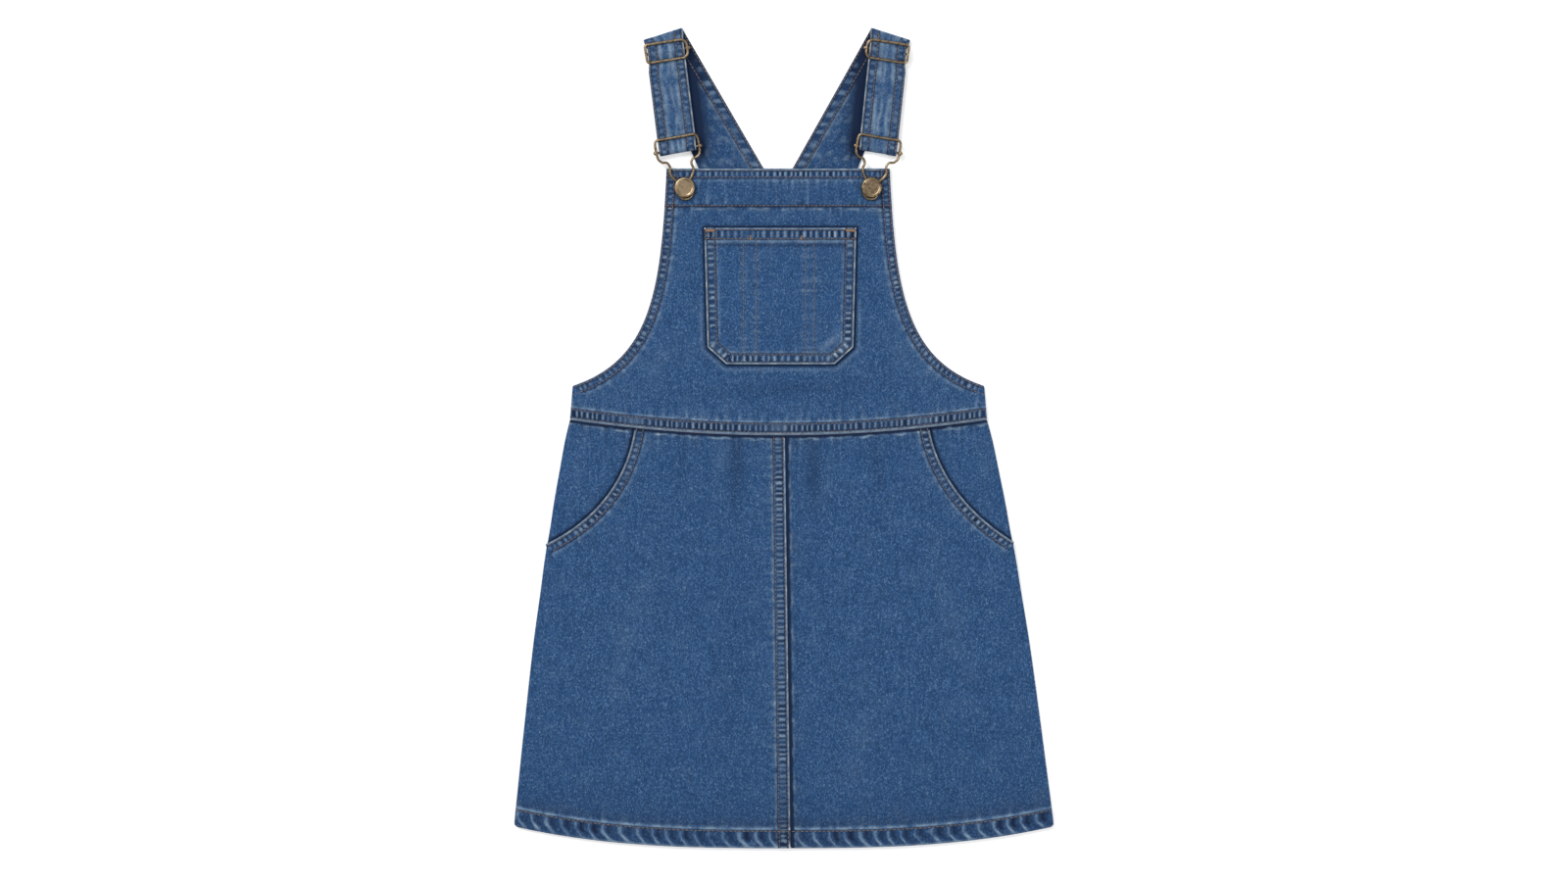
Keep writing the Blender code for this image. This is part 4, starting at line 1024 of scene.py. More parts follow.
class DRESS_OT_bodice(bpy.types.Operator):
    """Make the bodice front with its bib"""
    bl_idname = "dress.bodice"
    bl_label = "Bodice front"

    def execute(self, context):
        edge = bib_edge()
        seam_length = float(np.linalg.norm(np.array(ARMHOLE_FOOT) - edge.points[0]))
        marks = fine_marks(edge.length, 12, 0.55, 12)
        depths = np.array([0, 0.35, 0.7, 1.1, 1.7, 2.6, 3.5, 4.4, 5.2, 5.8, 6.4, 6.8, 7.1, 7.4,
                           8.2])
        _, band = edge_band(edge, marks, depths)
        band[0, :, 1] = bow_y(WAIST, band[0, :, 0])
        inner_out = band[:, -1:, 0] * np.linspace(1, 0, int(BIB_FIELD / COLUMN) + 1)[None, 1:]
        middle_y = mix(WAIST.middle_y, BIB_TOP_Y, marks / edge.length)
        out, y, from_edge = filled(band, depths, inner_out, middle_y)
        on_seam = 1 - smooth((marks - seam_length) / 12.0)
        low = bib_low(out, y, from_edge, on_seam)
        signed = np.hstack([-out, np.flip(out, axis=1)[:, 1:]])
        y, low, from_edge = (np.hstack([part, np.flip(part, axis=1)[:, 1:]])
                             for part in (y, low, from_edge))
        out, x = np.abs(signed), centre_x(y) + signed
        relief = Relief(out.shape)
        arm_depth, arm_along = edge.near(out, y)
        along = np.where(signed < 0, arm_along, arm_along + 500)
        on_arm = smooth((arm_along - seam_length + 4.0) / 8.0)
        waist_depth = y - bow_y(WAIST, out)
        top_depth = BIB_TOP_Y - y
        inner_top = smooth((top_depth - BIB_TOP_MARGIN + 1.0) / 2.0)
        relief.margin("armhole", arm_depth, along, on_arm * (0.35 + 0.65 * inner_top), 0.15)
        relief.margin("bib_top", top_depth, x, 1.0, 0.85, 0.55 * smooth((out - 46.0) / 14.0))
        flat_spots = sum(bump(signed - spot, 8.0) for spot in WAIST_FLAT_SPOTS)
        relief.margin("waist", waist_depth, x, 1.0, 0.72, 0.85 * flat_spots)
        relief.wear += 0.30 * flat_spots * bump(waist_depth - 5.0, 3.0)
        on_band = smooth((waist_depth - 2.4) / 0.8) * (1 - smooth((waist_depth - 7.2) / 0.8))
        relief.shade += 0.20 * on_band
        relief.lift = np.minimum(relief.lift, TURN + 0.35)
        # the facing behind the bib's top, and the row that holds it
        facing = 1 - smooth((top_depth - BIB_FACING_DEPTH) / STEP)
        relief.lift = np.maximum(relief.lift, FACING * facing + 0.35 * relief.lift)
        relief.lift -= 0.2 * bump(top_depth - BIB_FACING_DEPTH + 0.8, 0.5)
        relief.shade += 0.09 * facing * smooth((top_depth - 8.0) / 3.0)
        relief.ladder(top_depth - BIB_TOP_MARGIN - 0.8, x, 5.8, 41.0, 6.0, 0.08)
        relief.ladder(BIB_FACING_DEPTH - 1.6 - top_depth, x, 6.9, 43.0, 5.0, 0.08)
        below_facing = top_depth - BIB_FACING_DEPTH + 1.4
        relief.under_edge(below_facing, x, 0.75 * smooth(below_facing / 0.5), 35.0)
        relief.ladder(below_facing - 1.8, x, 6.3, 11.0, 4.0, 0.12)
        relief.ladder(waist_depth - WAIST_MARGIN - 0.3, x, 5.2, 12.0, 6.0, 0.13)
        relief.ladder(np.where(on_arm > 0.5, arm_depth - ARMHOLE_MARGIN - 0.3, 50), along, 6.1,
                      13.0, 4.0, 0.12)
        # contact shade round the patch pocket and the buttons
        ring = pocket_ring()
        from_pocket = Edge(ring + ring[:1]).near(x, y)[0]
        relief.shade += 1.1 * np.exp(-(from_pocket / 1.9) ** 4) + 0.16 * np.exp(-from_pocket / 5.0)
        relief.wear += 0.20 * bump(from_pocket - 4.2, 1.2) * (1 - smooth((y - 90.0) / 30.0))
        from_button = np.hypot(out - BUTTON_OUT, y - BUTTON_Y + 1.6)
        relief.shade += 0.75 * np.exp(-(from_button / (BUTTON_RADIUS + 1.2)) ** 8)
        for crease in BIB_CREASES:
            relief.crease(x, y, *crease)
        relief.rumple(x, y, 1.0, context.scene.dress_cloth.rumple / MM)
        quiet = smooth(from_edge / 6.0)
        lift = relief.lift * np.where(relief.lift > 0, 1, quiet)
        outer = np.stack([x, y, low + np.maximum(CLOTH + lift, LEAST_THICKNESS)], -1)
        piece = shell("bib_front", outer, np.stack([x, y, low], -1), relief)
        self.sew(piece, edge, seam_length)
        laid(piece)
        return {"FINISHED"}

    def sew(self, piece, edge, seam_length):
        thread = Thread(piece)
        for side in (LEFT, RIGHT):
            for depth, run_out in zip(MARGINS["armhole"].rows, ARMHOLE_RUN_OUT):
                start = seam_length + (depth * 0.7 if depth > 3 else 1.0)
                line = offset_line(edge, depth, start, edge.length - 0.6)
                run = line[0] - line[4]
                line = np.vstack([line[0] + run * run_out / np.hypot(*run), line])
                thread.row(on_side(side, line))
        for depth in MARGINS["bib_top"].rows + (BIB_FACING_DEPTH - 0.8,):
            y = np.full(2, BIB_TOP_Y - depth)
            half = BIB_TOP_HALF + (-1.2 if depth < BIB_TOP_MARGIN else 0.6)
            thread.row(np.stack([centre_x(y) + np.array([-half, half]), y], -1))
        out = np.linspace(-WAIST.half + 0.8, WAIST.half - 0.8, 120)
        for depth in MARGINS["waist"].rows:
            y = bow_y(WAIST, out) + depth
            thread.row(np.stack([centre_x(y) + out, y], -1))
        thread.finish("bib_front_topstitch")


WAIST_FLAT_SPOTS = (-112.0, 0.0, 114.0)    # a seam passes under the waist
ARMHOLE_RUN_OUT = (3.6, 7.2)    # the armhole's rows run on towards the side seam
BIB_CREASES = (             # place, angle, length, width, height
    ((154.0, 27.0), -58.0, 16.0, 2.2, 0.45),
    ((-160.0, 30.0), 60.0, 12.0, 2.0, 0.3),
    ((-96.0, 60.0), 52.0, 60.0, 7.0, 0.35),
    ((92.0, 62.0), -50.0, 56.0, 7.0, 0.3),
    ((0.0, 38.0), 4.0, 120.0, 6.0, -0.15),
    ((-6.0, 193.0), 86.0, 22.0, 1.8, 0.34),
    ((3.0, 190.0), 97.0, 18.0, 1.6, 0.28),
    ((-34.0, 172.0), 82.0, 10.0, 1.6, 0.30),
    ((27.0, 171.0), 100.0, 11.0, 1.6, 0.32),
)


SKIRT_FIELD = 180           # width that the coarser columns of a skirt front cross


class DRESS_OT_skirt(bpy.types.Operator):
    """Make the two skirt fronts with their pocket mouths, centre seam and hem"""
    bl_idname = "dress.skirt"
    bl_label = "Skirt fronts"

    def execute(self, context):
        for side in (LEFT, RIGHT):
            self.panel(context, side)
        return {"FINISHED"}

    def panel(self, context, side):
        edge = front_edge(side)
        seam = Edge(side_seam(HEM.side_y, POCKET_MOUTH[side].foot[1]))
        marks = fine_marks(edge.length, 17, 0.7, 9)
        depths = np.array([0, 0.35, 0.7, 1.1, 1.7, 2.6, 3.6, 4.6, 5.6, 6.4, 7.0, 7.4, 7.9, 8.8])
        place, band = edge_band(edge, marks, depths)
        band[0, :, 1] = bow_y(HEM, band[0, :, 0])
        band[-1, :, 1] = bow_y(WAIST, band[-1, :, 0]) - GAP
        last = CENTRE_END[side]
        near = np.array([11.5, 10.8, 10.3, 9.9, 9.3, 8.6, 7.8, 6.8, 5.6, 4.4, 3.2, 2.2, 1.6,
                         1.1, 0.7, 0.35, 0.0])
        shares = np.linspace(0, 1, int(SKIRT_FIELD / COLUMN) + 1)[None, 1:-1]
        inner_out = np.hstack([mix(band[:, -1:, 0], last + near[0], shares),
                               np.broadcast_to(last + near, (len(marks), near.size))])
        middle_y = mix(HEM.middle_y, WAIST.middle_y - GAP, marks / edge.length)
        out, y, from_edge = filled(band, depths, inner_out, middle_y)
        on_mouth = smooth((place[..., 1] - MOUTH_LIFT_END) / (HIP_FOOT_Y - 6 - MOUTH_LIFT_END))
        over_hip = on_mouth * (1 - smooth((from_edge - HIP_UNDERLAP - 4.0) / 12.0))
        low = skirt_low(side, out, y, from_edge, over_hip)
        shift_out, shift_y = soften_corner(from_edge, y - bow_y(HEM, out))
        out, y = out - shift_out, y + shift_y
        x = world(side, out, y, low)[..., 0]
        relief = Relief(out.shape)
        mouth = Edge(mouth_curve(side))
        mouth_depth, mouth_along = mouth.near(out, y)
        at_mouth = np.where((mouth_along <= 0.8) & (y < POCKET_MOUTH[side].foot[1] - 1.0),
                            1 - smooth(mouth_depth / 9.0), 1.0)
        relief.margin("mouth", mouth_depth, mouth_along + 300 * side, at_mouth, 0.76)
        hem_depth = y - bow_y(HEM, out)
        relief.margin("hem", hem_depth, x, 1.0, 0.62)
        above_hem = np.maximum(hem_depth - HEM_MARGIN - 2.0, 0.0)
        settled = smooth(above_hem / 1.5)
        relief.shade += 0.34 * settled * np.exp(-above_hem / 5.0)
        relief.shade += 0.22 * settled * np.exp(-above_hem / 30.0)
        if side == LEFT:
            relief.margin("centre", out - last, y, 1.0, 0.80)
            relief.ladder(out - last - CENTRE_MARGIN - 0.3, y, 6.0, 15.0, 4.0, 0.10)
        else:
            relief.under_edge(out - last, y, drips=0.6)
            relief.ladder(out - last, y, 6.6, 16.0, 4.0, 0.10)
        relief.lift = np.minimum(relief.lift, TURN + 0.45)
        below_waist = bow_y(WAIST, out) - GAP - y
        relief.under_edge(below_waist, x, 1.0, 33.0)
        relief.ladder(below_waist - 1.2, x, 5.4, 17.0, 7.0, 0.18)
        relief.ladder(hem_depth - HEM_MARGIN - 0.4, x, 7.3, 18.0, 4.0, 0.14)
        relief.ladder(mouth_depth - MOUTH_MARGIN - 0.3, mouth_along, 6.4, 19.0, 4.0, 0.12)
        for crease in SKIRT_CREASES:
            relief.crease(x, y, *crease)
        relief.rumple(x, y, 2.0 + side, context.scene.dress_cloth.rumple / MM)
        roll = np.clip(1 - seam.near(out, y)[0] / 3.0, 0, 1) ** 2
        roll = roll * (1 - smooth((y + 96.0) / 10.0))
        z = low + np.maximum(CLOTH + relief.lift - 0.8 * roll, LEAST_THICKNESS)
        outer = np.stack([x, y, z], -1)
        name = f"skirt_front_{SIDE_NAME[side]}"
        piece = shell(name, outer, np.stack([x, y, low], -1), relief)
        self.sew(piece, name, side, mouth)
        laid(piece)

    def sew(self, piece, name, side, mouth):
        thread = Thread(piece)
        for depth in MARGINS["mouth"].rows:
            thread.row(on_side(side, offset_line(mouth, depth, 0.6 + depth * 0.3)))
        inner = CENTRE_END[side]
        out = np.linspace(HEM.half - 1.0, inner + 0.4, 80)
        y = bow_y(HEM, out) + MARGINS["hem"].rows[0]
        thread.row(np.stack([centre_x(y) + side * out, y], -1), 3.4)
        if side == LEFT:
            for depth in MARGINS["centre"].rows:
                y = np.linspace(HEM.middle_y + 0.8, WAIST.middle_y - 1.2, 60)
                thread.row(np.stack([centre_x(y) + side * (inner + depth), y], -1))
        thread.finish(f"{name}_topstitch")


SKIRT_CREASES = (           # place, angle, length, width, height
    ((-37.0, -24.0), 88.0, 66.0, 6.5, -0.26),
    ((-50.0, -20.0), 84.0, 50.0, 5.0, 0.26),
    ((23.0, -26.0), 92.0, 62.0, 6.2, -0.26),
    ((35.0, -22.0), 89.0, 50.0, 5.0, 0.24),
    ((-80.0, -18.0), 80.0, 40.0, 5.0, -0.16),
    ((73.0, -20.0), 97.0, 44.0, 5.4, -0.16),
    ((-120.0, -150.0), 74.0, 110.0, 9.0, 0.3),
    ((128.0, -140.0), 104.0, 120.0, 9.0, 0.28),
    ((-40.0, -180.0), 88.0, 140.0, 12.0, -0.06),
    ((60.0, -240.0), 84.0, 110.0, 10.0, 0.22),
)


class DRESS_OT_hip_panels(bpy.types.Operator):
    """Make the panels that show inside the pocket mouths"""
    bl_idname = "dress.hip_panels"
    bl_label = "Hip panels"

    def execute(self, context):
        for side in (LEFT, RIGHT):
            mouth = Edge(mouth_curve(side))
            seam = Edge(side_seam(HIP_FOOT_Y, WAIST.side_y - GAP))
            share = np.linspace(0, 1, 90)[:, None]
            outer_place = seam.at(share * seam.length)
            marks = share * mouth.length
            inner_place = mouth.at(marks) + mouth.inward(marks) * HIP_UNDERLAP
            inner_place[-1, 0, 1] = bow_y(WAIST, inner_place[-1, 0, 0]) - GAP
            ratio = (inner_place[..., 0] / outer_place[..., 0]) ** WAIST.power
            middle = (inner_place[..., 1] - outer_place[..., 1] * ratio) / (1 - ratio)
            across = np.linspace(0, 1, 61)[None, :]
            out = mix(outer_place[..., 0], inner_place[..., 0], across)
            y = mix(middle, outer_place[..., 1], (out / outer_place[..., 0]) ** WAIST.power)
            relief = Relief(out.shape)
            below_waist = bow_y(WAIST, out) - GAP - y
            relief.under_edge(below_waist, side * out, 1.0, 33.0)
            relief.ladder(below_waist - 1.0, side * out, 5.6, 21.0 + side, 7.0, 0.12)
            mouth_depth, mouth_along = mouth.near(out, y)
            relief.under_edge(mouth_depth, mouth_along, 0.75, drips=0.0)
            x = world(side, out, y, 0.0)[..., 0]
            for crease in HIP_CREASES:
                relief.crease(side * out, y, *crease)
            relief.rumple(x, y, 5.0 + side, context.scene.dress_cloth.rumple / MM)
            seam_depth = seam.near(out, y)[0]
            relief.lift += 0.35 * smooth(seam_depth / 12.0)
            relief.lift -= 0.5 * np.clip(1 - seam_depth / 3, 0, 1) ** 2
            room = smooth((mouth_depth - 1.0) / 6.0) * smooth(seam_depth / 3.0)
            relief.lift = np.minimum(relief.lift, 0.1 + 0.9 * room)
            low = np.full(out.shape, SIDE_LEVEL)
            outer = world(side, out, y, low + CLOTH + relief.lift)
            piece = shell(f"hip_panel_{SIDE_NAME[side]}", outer, world(side, out, y, low), relief)
            laid(piece)
        return {"FINISHED"}


HIP_CREASES = (             # place on the garment's sides, angle, length, width, height
    ((-158.0, -28.0), 80.0, 40.0, 5.0, 0.2),
    ((158.0, -24.0), 98.0, 40.0, 5.0, 0.25),
)


class DRESS_OT_pocket(bpy.types.Operator):
    """Make the patch pocket on the bib"""
    bl_idname = "dress.pocket"
    bl_label = "Bib pocket"

    def execute(self, context):
        ring = pocket_ring()
        foot_y, top_y = POCKET_FOOT[1], POCKET_TOP_Y
        halves, heights = zip(POCKET_FOOT, POCKET_SIDE_FOOT, (POCKET_TOP_HALF, POCKET_TOP_Y))
        corner_top, hem_foot = foot_y + 16, top_y - 11
        y = np.concatenate([even(foot_y, corner_top, 0.7), even(corner_top, hem_foot, 1.1)[1:-1],
                            even(hem_foot, top_y, 0.7)])[:, None]
        spread = 0.86 * math.pi / 2
        share = np.sin(np.linspace(-1, 1, 141) * spread) / math.sin(spread)
        x = centre_x(y) + POCKET_SHIFT + np.interp(y, heights, halves) * share[None, :]
        y = np.broadcast_to(y, x.shape)
        depth, along = Edge(ring).near(x, y)
        top_depth = top_y - y
        relief = Relief(x.shape)
        chamfer = np.exp(-(np.maximum(POCKET_SIDE_FOOT[1] - y, 0.0) / 3.0) ** 2)
        chamfer = chamfer * (1 - smooth((y - POCKET_SIDE_FOOT[1] - 10.0) / 6.0))
        chamfer = chamfer * smooth((np.abs(x - centre_x(y)) - 32.0) / 6.0)
        quiet = 0.34 * smooth((y - 88.0) / 16.0) + 0.38 * chamfer
        relief.margin("pocket", depth, along, 1.0, 0.85, quiet)
        side_part = relief.lift.copy()
        relief.lift[:] = 0
        relief.margin("pocket_top", top_depth, x, 1.0, 0.7)
        top_part = relief.lift
        relief.lift = np.maximum(side_part, top_part) + 0.2 * np.minimum(side_part, top_part)
        below_hem = top_depth - MARGINS["pocket_top"].rows[-1]
        drip = bump(below_hem - 1.7 - 0.3 * ripple(x / 3.0, 36.0), 0.8)
        relief.wear += 0.22 * drip * smooth((depth - 6.0) / 2.0)
        relief.shade += 0.62 * bump(below_hem - 5.0, 1.7) * smooth((depth - 6.0) / 2.0)
        middle = float(centre_x(110.0)) + POCKET_SHIFT
        for offset in PEN_SLOT_ROWS:
            groove = bump(x - middle - offset, 0.8) * smooth((top_depth - 8) / 4)
            relief.lift -= 0.2 * groove
            relief.shade += 0.12 * groove
            beside = np.abs(x - middle - offset)
            relief.ladder(beside - 0.5, y, 5.6, 30.0 + offset, 2.6, 0.10)
            beads = np.clip(ripple(y / 1.5, offset), 0, 1) * bump(beside - 1.5, 0.7)
            relief.wear += 0.24 * beads * smooth((top_depth - 9) / 3)
        for crease in POCKET_CREASES:
            relief.crease(x - middle, y, *crease, rub=1.2)
        relief.rumple(x, y, 7.0, 0.8 * context.scene.dress_cloth.rumple / MM)
        level = FRONT_LEVEL + CLOTH + GAP
        outer = np.stack([x, y, level + np.maximum(CLOTH + relief.lift, LEAST_THICKNESS)], -1)
        inner = np.stack([x, y, np.full(x.shape, level - 0.2)], -1)
        piece = shell("bib_pocket", outer, inner, relief)
        self.sew(piece, ring, middle)
        laid(piece)
        return {"FINISHED"}

    def sew(self, piece, ring, middle):
        thread = Thread(piece)
        for depth in MARGINS["pocket"].rows:
            thread.row(inset_ring(np.array(ring), depth))
        for depth in MARGINS["pocket_top"].rows:
            y = POCKET_TOP_Y - depth
            thread.row([(middle + way * (POCKET_TOP_HALF - 1.4), y) for way in (LEFT, RIGHT)])
        thread.finish("bib_pocket_topstitch")
        slots = Thread(piece)
        for offset in PEN_SLOT_ROWS:
            slots.row([(middle + offset, y) for y in (POCKET_TOP_Y - 8.8, POCKET_FOOT[1] + 8.0)])
        slots.finish("bib_pocket_slot_stitch", "worn_thread")
        tacks = Thread(piece)
        for way in (-1, 1):
            tacks.tack((middle + way * (POCKET_TOP_HALF - 4.6), POCKET_TOP_Y - 2.2), 0.0)
        for offset in (PEN_SLOT_ROWS[0] + 5.5, PEN_SLOT_ROWS[2] - 3.0):
            tacks.tack((middle + offset, POCKET_TOP_Y - 8.0), 90.0, 3.2, 1.2)
        tacks.finish("bib_pocket_tacks", "tack_thread")


POCKET_CREASES = (          # place from the pocket's middle, angle, length, width, height
    ((50.5, 71.5), -62.0, 9.0, 2.2, 0.42),
    ((43.0, 65.5), 38.0, 13.0, 1.5, 0.45),
    ((-52.5, 71.5), 64.0, 8.0, 1.9, 0.32),
    ((-45.5, 65.0), -40.0, 10.0, 1.4, 0.38),
    ((38.0, 74.0), 34.0, 16.0, 2.6, 0.26),
)
PEN_SLOT_ROWS = (-28.8, -18.8, 19.4, 26.4)


def inset_ring(corners, depth):
    """A closed outline's corners, given clockwise, moved in by a depth."""
    lines = []
    for start, end in zip(corners, np.roll(corners, -1, axis=0)):
        run = (end - start) / np.linalg.norm(end - start)
        lines.append((start - depth * np.array([-run[1], run[0]]), run))
    moved = []
    for (before, run), (after, turn) in zip([lines[-1], *lines], lines):
        gap = after - before
        cross = run[0] * turn[1] - run[1] * turn[0]
        moved.append(before + run * (gap[0] * turn[1] - gap[1] * turn[0]) / cross)
    return np.array(moved)


# ---- operators: straps ----
def tilted(angle):
    across = np.array([-math.cos(angle), math.sin(angle)])
    along = np.array([math.sin(angle), math.cos(angle)])
    return across, along


def crossbar_place():
    return np.array([BUTTON_OUT, BUTTON_Y]) + tilted(BUCKLE_TILT)[1] * CROSSBAR_AT


def shoulder():
    out, inn = np.array(SHOULDER_OUT), np.array(SHOULDER_IN)
    line = (inn - out) / np.linalg.norm(inn - out)
    away = np.array([line[1], -line[0]])
    radius = (SHOULDER_TOP - STRAP / 2) / 2
    inset = away * (radius + STRAP / 2)
    return out - inset, inn - inset, away, radius


def strap_line():
    out, inn, _, _ = shoulder()
    start, end = (out + inn) / 2, crossbar_place()
    length = np.linalg.norm(end - start)
    return start, end, length, (end - start) / length


Run = namedtuple("Run", "at z tilt out_half in_half")


def strap_runs():
    length = strap_line()[2]
    out, inn = np.array(SHOULDER_OUT), np.array(SHOULDER_IN)
    fold_half = np.linalg.norm(inn - out) / 2
    fold_tilt = math.atan2(inn[1] - out[1], out[0] - inn[0])
    bar_top = SLIDER_BAR_Z + WIRE + STRAP_SLACK + STRAP / 2
    loop_top = CROSSBAR_Z + WIRE + STRAP_SLACK + STRAP / 2
    tight = SLIDER_OUT - WIRE - STRAP_SLACK
    return (
        Run(0.0, SHOULDER_TOP, fold_tilt, fold_half, fold_half),
        Run(SLIDER_AT - SLIDER_HALF, OUTER_LEVEL, SLIDER_TILT, tight, STRAP_HALF),
        Run(SLIDER_AT, bar_top, SLIDER_TILT, tight, STRAP_HALF),
        Run(SLIDER_AT + SLIDER_HALF, OUTER_LEVEL, SLIDER_TILT, tight, STRAP_HALF),
        Run(SLIDER_AT + 2 * SLIDER_HALF, OUTER_LEVEL, SLIDER_TILT, STRAP_HALF, STRAP_HALF),
        Run(length - 10.5, OUTER_LEVEL, BUCKLE_TILT, STRAP_HALF, STRAP_HALF),
        Run(length, loop_top, BUCKLE_TILT, STRAP_HALF - 0.5, STRAP_HALF - 0.5),
    )


def run_at(runs, at):
    for first, second in zip(runs, runs[1:]):
        if at <= second.at:
            break
    share = smooth((at - first.at) / (second.at - first.at))
    return Run(*(mix(a, b, share) for a, b in zip(first, second)))


def strap_frames(spacing):
    """Rows along a strap: both edges' middles, the outer normal, the turned side, run name."""
    fold_out, fold_in, away, radius = shoulder()
    level = STRAP / 2
    up, down = np.array([0, 0, 1.0]), np.array([0, 0, -1.0])
    frames = []
    foot_out = np.array([BACK_TOP_HALF, STRAP_FOOT_Y])
    foot_in = np.array([STRAP_FOOT_IN, STRAP_FOOT_Y])
    back_length = np.linalg.norm((foot_out + foot_in - fold_out - fold_in) / 2)
    for share in np.linspace(0, 1, int(back_length / spacing))[:-1]:
        edges = [np.append(mix(a, b, share), level)
                 for a, b in ((foot_out, fold_out), (foot_in, fold_in))]
        frames.append((edges, down, -1.0, "back"))
    away3 = np.append(away, 0.0)
    for share in np.linspace(0, 1, 15)[:-1]:
        angle = math.pi * (share - 0.5)
        normal = away3 * math.cos(angle) + up * math.sin(angle)
        middle = up * (level + radius)
        edges = [np.append(edge, 0.0) + middle + normal * radius for edge in (fold_out, fold_in)]
        frames.append((edges, normal, mix(-1.0, 1.0, share), "fold"))
    start, _, length, direction = strap_line()
    runs = strap_runs()
    direction3 = np.append(direction, 0.0)

    def edges_at(run):
        across = np.append(tilted(run.tilt)[0], 0.0)
        middle = np.append(start + direction * run.at, run.z)
        return [middle - across * run.out_half, middle + across * run.in_half]

    for at in np.linspace(0, length, int(length / spacing) + 1):
        run = run_at(runs, at)
        ahead, behind = run_at(runs, min(at + 0.5, length)), run_at(runs, max(at - 0.5, 0.0))
        slope = (ahead.z - behind.z) / (ahead.at - behind.at)
        normal = up - direction3 * slope
        frames.append((edges_at(run), normal / np.linalg.norm(normal), 1.0, "front"))
    loop = runs[-1]
    loop_radius = loop.z - CROSSBAR_Z
    for share in np.linspace(0, 1, 13)[1:]:
        angle = math.pi * (0.5 - share)
        normal = direction3 * math.cos(angle) + up * math.sin(angle)
        shift = normal * loop_radius - up * loop_radius
        frames.append(([edge + shift for edge in edges_at(loop)], normal, 1 - share, "loop"))
    for at in np.linspace(length, SLIDER_AT, 30)[1:]:
        run = run_at(runs, at)._replace(z=RETURN_LEVEL)
        frames.append((edges_at(run), down, 0.0, "return"))
    return frames


class DRESS_OT_straps(bpy.types.Operator):
    """Make the shoulder straps"""
    bl_idname = "dress.straps"
    bl_label = "Straps"

    def execute(self, context):
        for side in (LEFT, RIGHT):
            self.strap(side)
        return {"FINISHED"}

    def strap(self, side):
        frames = strap_frames(1.0)
        share = np.concatenate([np.linspace(0, 0.27, 13), np.linspace(0.27, 0.73, 13)[1:-1],
                                np.linspace(0.73, 1, 13)])
        edges, normals, turned, _ = zip(*frames)
        outs, inns = np.array(edges).transpose(1, 0, 2)
        normals, turned = np.array(normals), np.array(turned)[:, None]
        middles = (outs + inns) / 2
        along = np.concatenate([[0], np.cumsum(np.linalg.norm(np.diff(middles, axis=0), axis=1))])
        width = np.linalg.norm(inns - outs, axis=1)[:, None]
        place = outs[:, None, :] + (inns - outs)[:, None, :] * share[None, :, None]
        depth_out, depth_in = width * share[None, :], width * (1 - share[None, :])
        along = np.broadcast_to(along[:, None], depth_out.shape)
        sheets = []
        for away in (1.0, -1.0):
            relief = Relief(depth_out.shape)
            kind = "strap" if away > 0 else "strap_back"
            band = MARGINS[kind].width
            relief.margin(kind, depth_out, along + 40 * side, 1.0 if away > 0 else 0.35, 0.35)
            relief.margin(kind, depth_in, along + 170 + 40 * side, 1.0, 1.0 if away > 0 else 0.3)
            relief.rumple(along + 20 * side, depth_out, 3.0 + side, 0.10)
            relief.ladder(depth_out - band - 0.4, along, 7.0, 40.0 + side, 3.0, 0.10)
            relief.ladder(depth_in - band - 0.4, along, 6.4, 42.0 + side, 3.0, 0.10)
            relief.wear += self.blotches(away, along, depth_out, depth_in, side)
            shown = np.clip(turned * away, 0, 1)
            lift = relief.lift * shown + np.minimum(relief.lift, 0) * (1 - shown)
            shift = away * normals[:, None, :] * (STRAP / 2 + lift)[..., None]
            moved = place + shift
            sheets.append((world(side, *np.moveaxis(moved, -1, 0)), relief, moved))
        (outer, outer_relief, _), (inner, inner_relief, bare) = sheets
        outer[..., 2] = np.maximum(outer[..., 2], 0.0)
        name = f"strap_{SIDE_NAME[side]}"
        shades = [self.contact(frames, relief, bare) for relief in (outer_relief, inner_relief)]
        piece = ribbon(f"{name}_cloth", outer, inner, (outer_relief.wear, inner_relief.wear),
                       shades)
        settle(piece, "denim", name)
        self.sew(piece, name, side, frames)

    def blotches(self, away, along, depth_out, depth_in, side):
        """Rubbed patches: many on the front run, a few on the back run."""
        spots = 0.5 + 0.5 * mottle(along * 0.62, depth_out, 9.0, 5.0 + side)
        lines = sum(bump(depth - 10.2 - 1.1 * ripple(along / 9.0, seed), 1.2)
                    for depth, seed in ((depth_out, 44.0 + side), (depth_in, 47.0 + side)))
        lines = lines + bump(depth_out - 16.2 - 1.4 * ripple(along / 7.0, 52.0 + side), 0.9)
        strength = 0.5 + 0.5 * ripple(along / 6.0, 49.0 + side)
        if away < 0:
            return 0.22 * smooth((spots - 0.62) / 0.3)
        return 0.02 + 0.12 * smooth((spots - 0.5) / 0.3) + 0.66 * lines * np.clip(strength, 0, 1)

    def contact(self, frames, relief, points):
        """Shade beside the front run and deep in the folds."""
        shade = relief.shade.copy()
        front = Edge([edges[1][:2] for edges, _, _, run in frames if run == "front"])
        for row, (_, _, _, run) in enumerate(frames):
            if run == "back":
                away = front.near(points[row, :, 0], points[row, :, 1])[0]
                shade[row] += 0.24 + 1.40 * np.exp(-(away / 9.5) ** 2)
            if run == "front":
                shade[row] += 0.10
            if run in ("loop", "return"):
                shade[row] += 0.25
        return shade

    def sew(self, piece, name, side, frames):
        thread = Thread(piece)
        for front_depth, back_depth in zip(MARGINS["strap"].rows, MARGINS["strap_back"].rows):
            for run, near, depth in (("front", 0, front_depth), ("front", 1, front_depth),
                                     ("back", 1, back_depth)):
                line = []
                for edges, _, _, name_of_run in frames:
                    if name_of_run == run:
                        here, there = edges[near][:2], edges[1 - near][:2]
                        line.append(here + (there - here) / np.linalg.norm(there - here) * depth)
                thread.row(on_side(side, np.array(line)))
        thread.finish(f"{name}_topstitch")


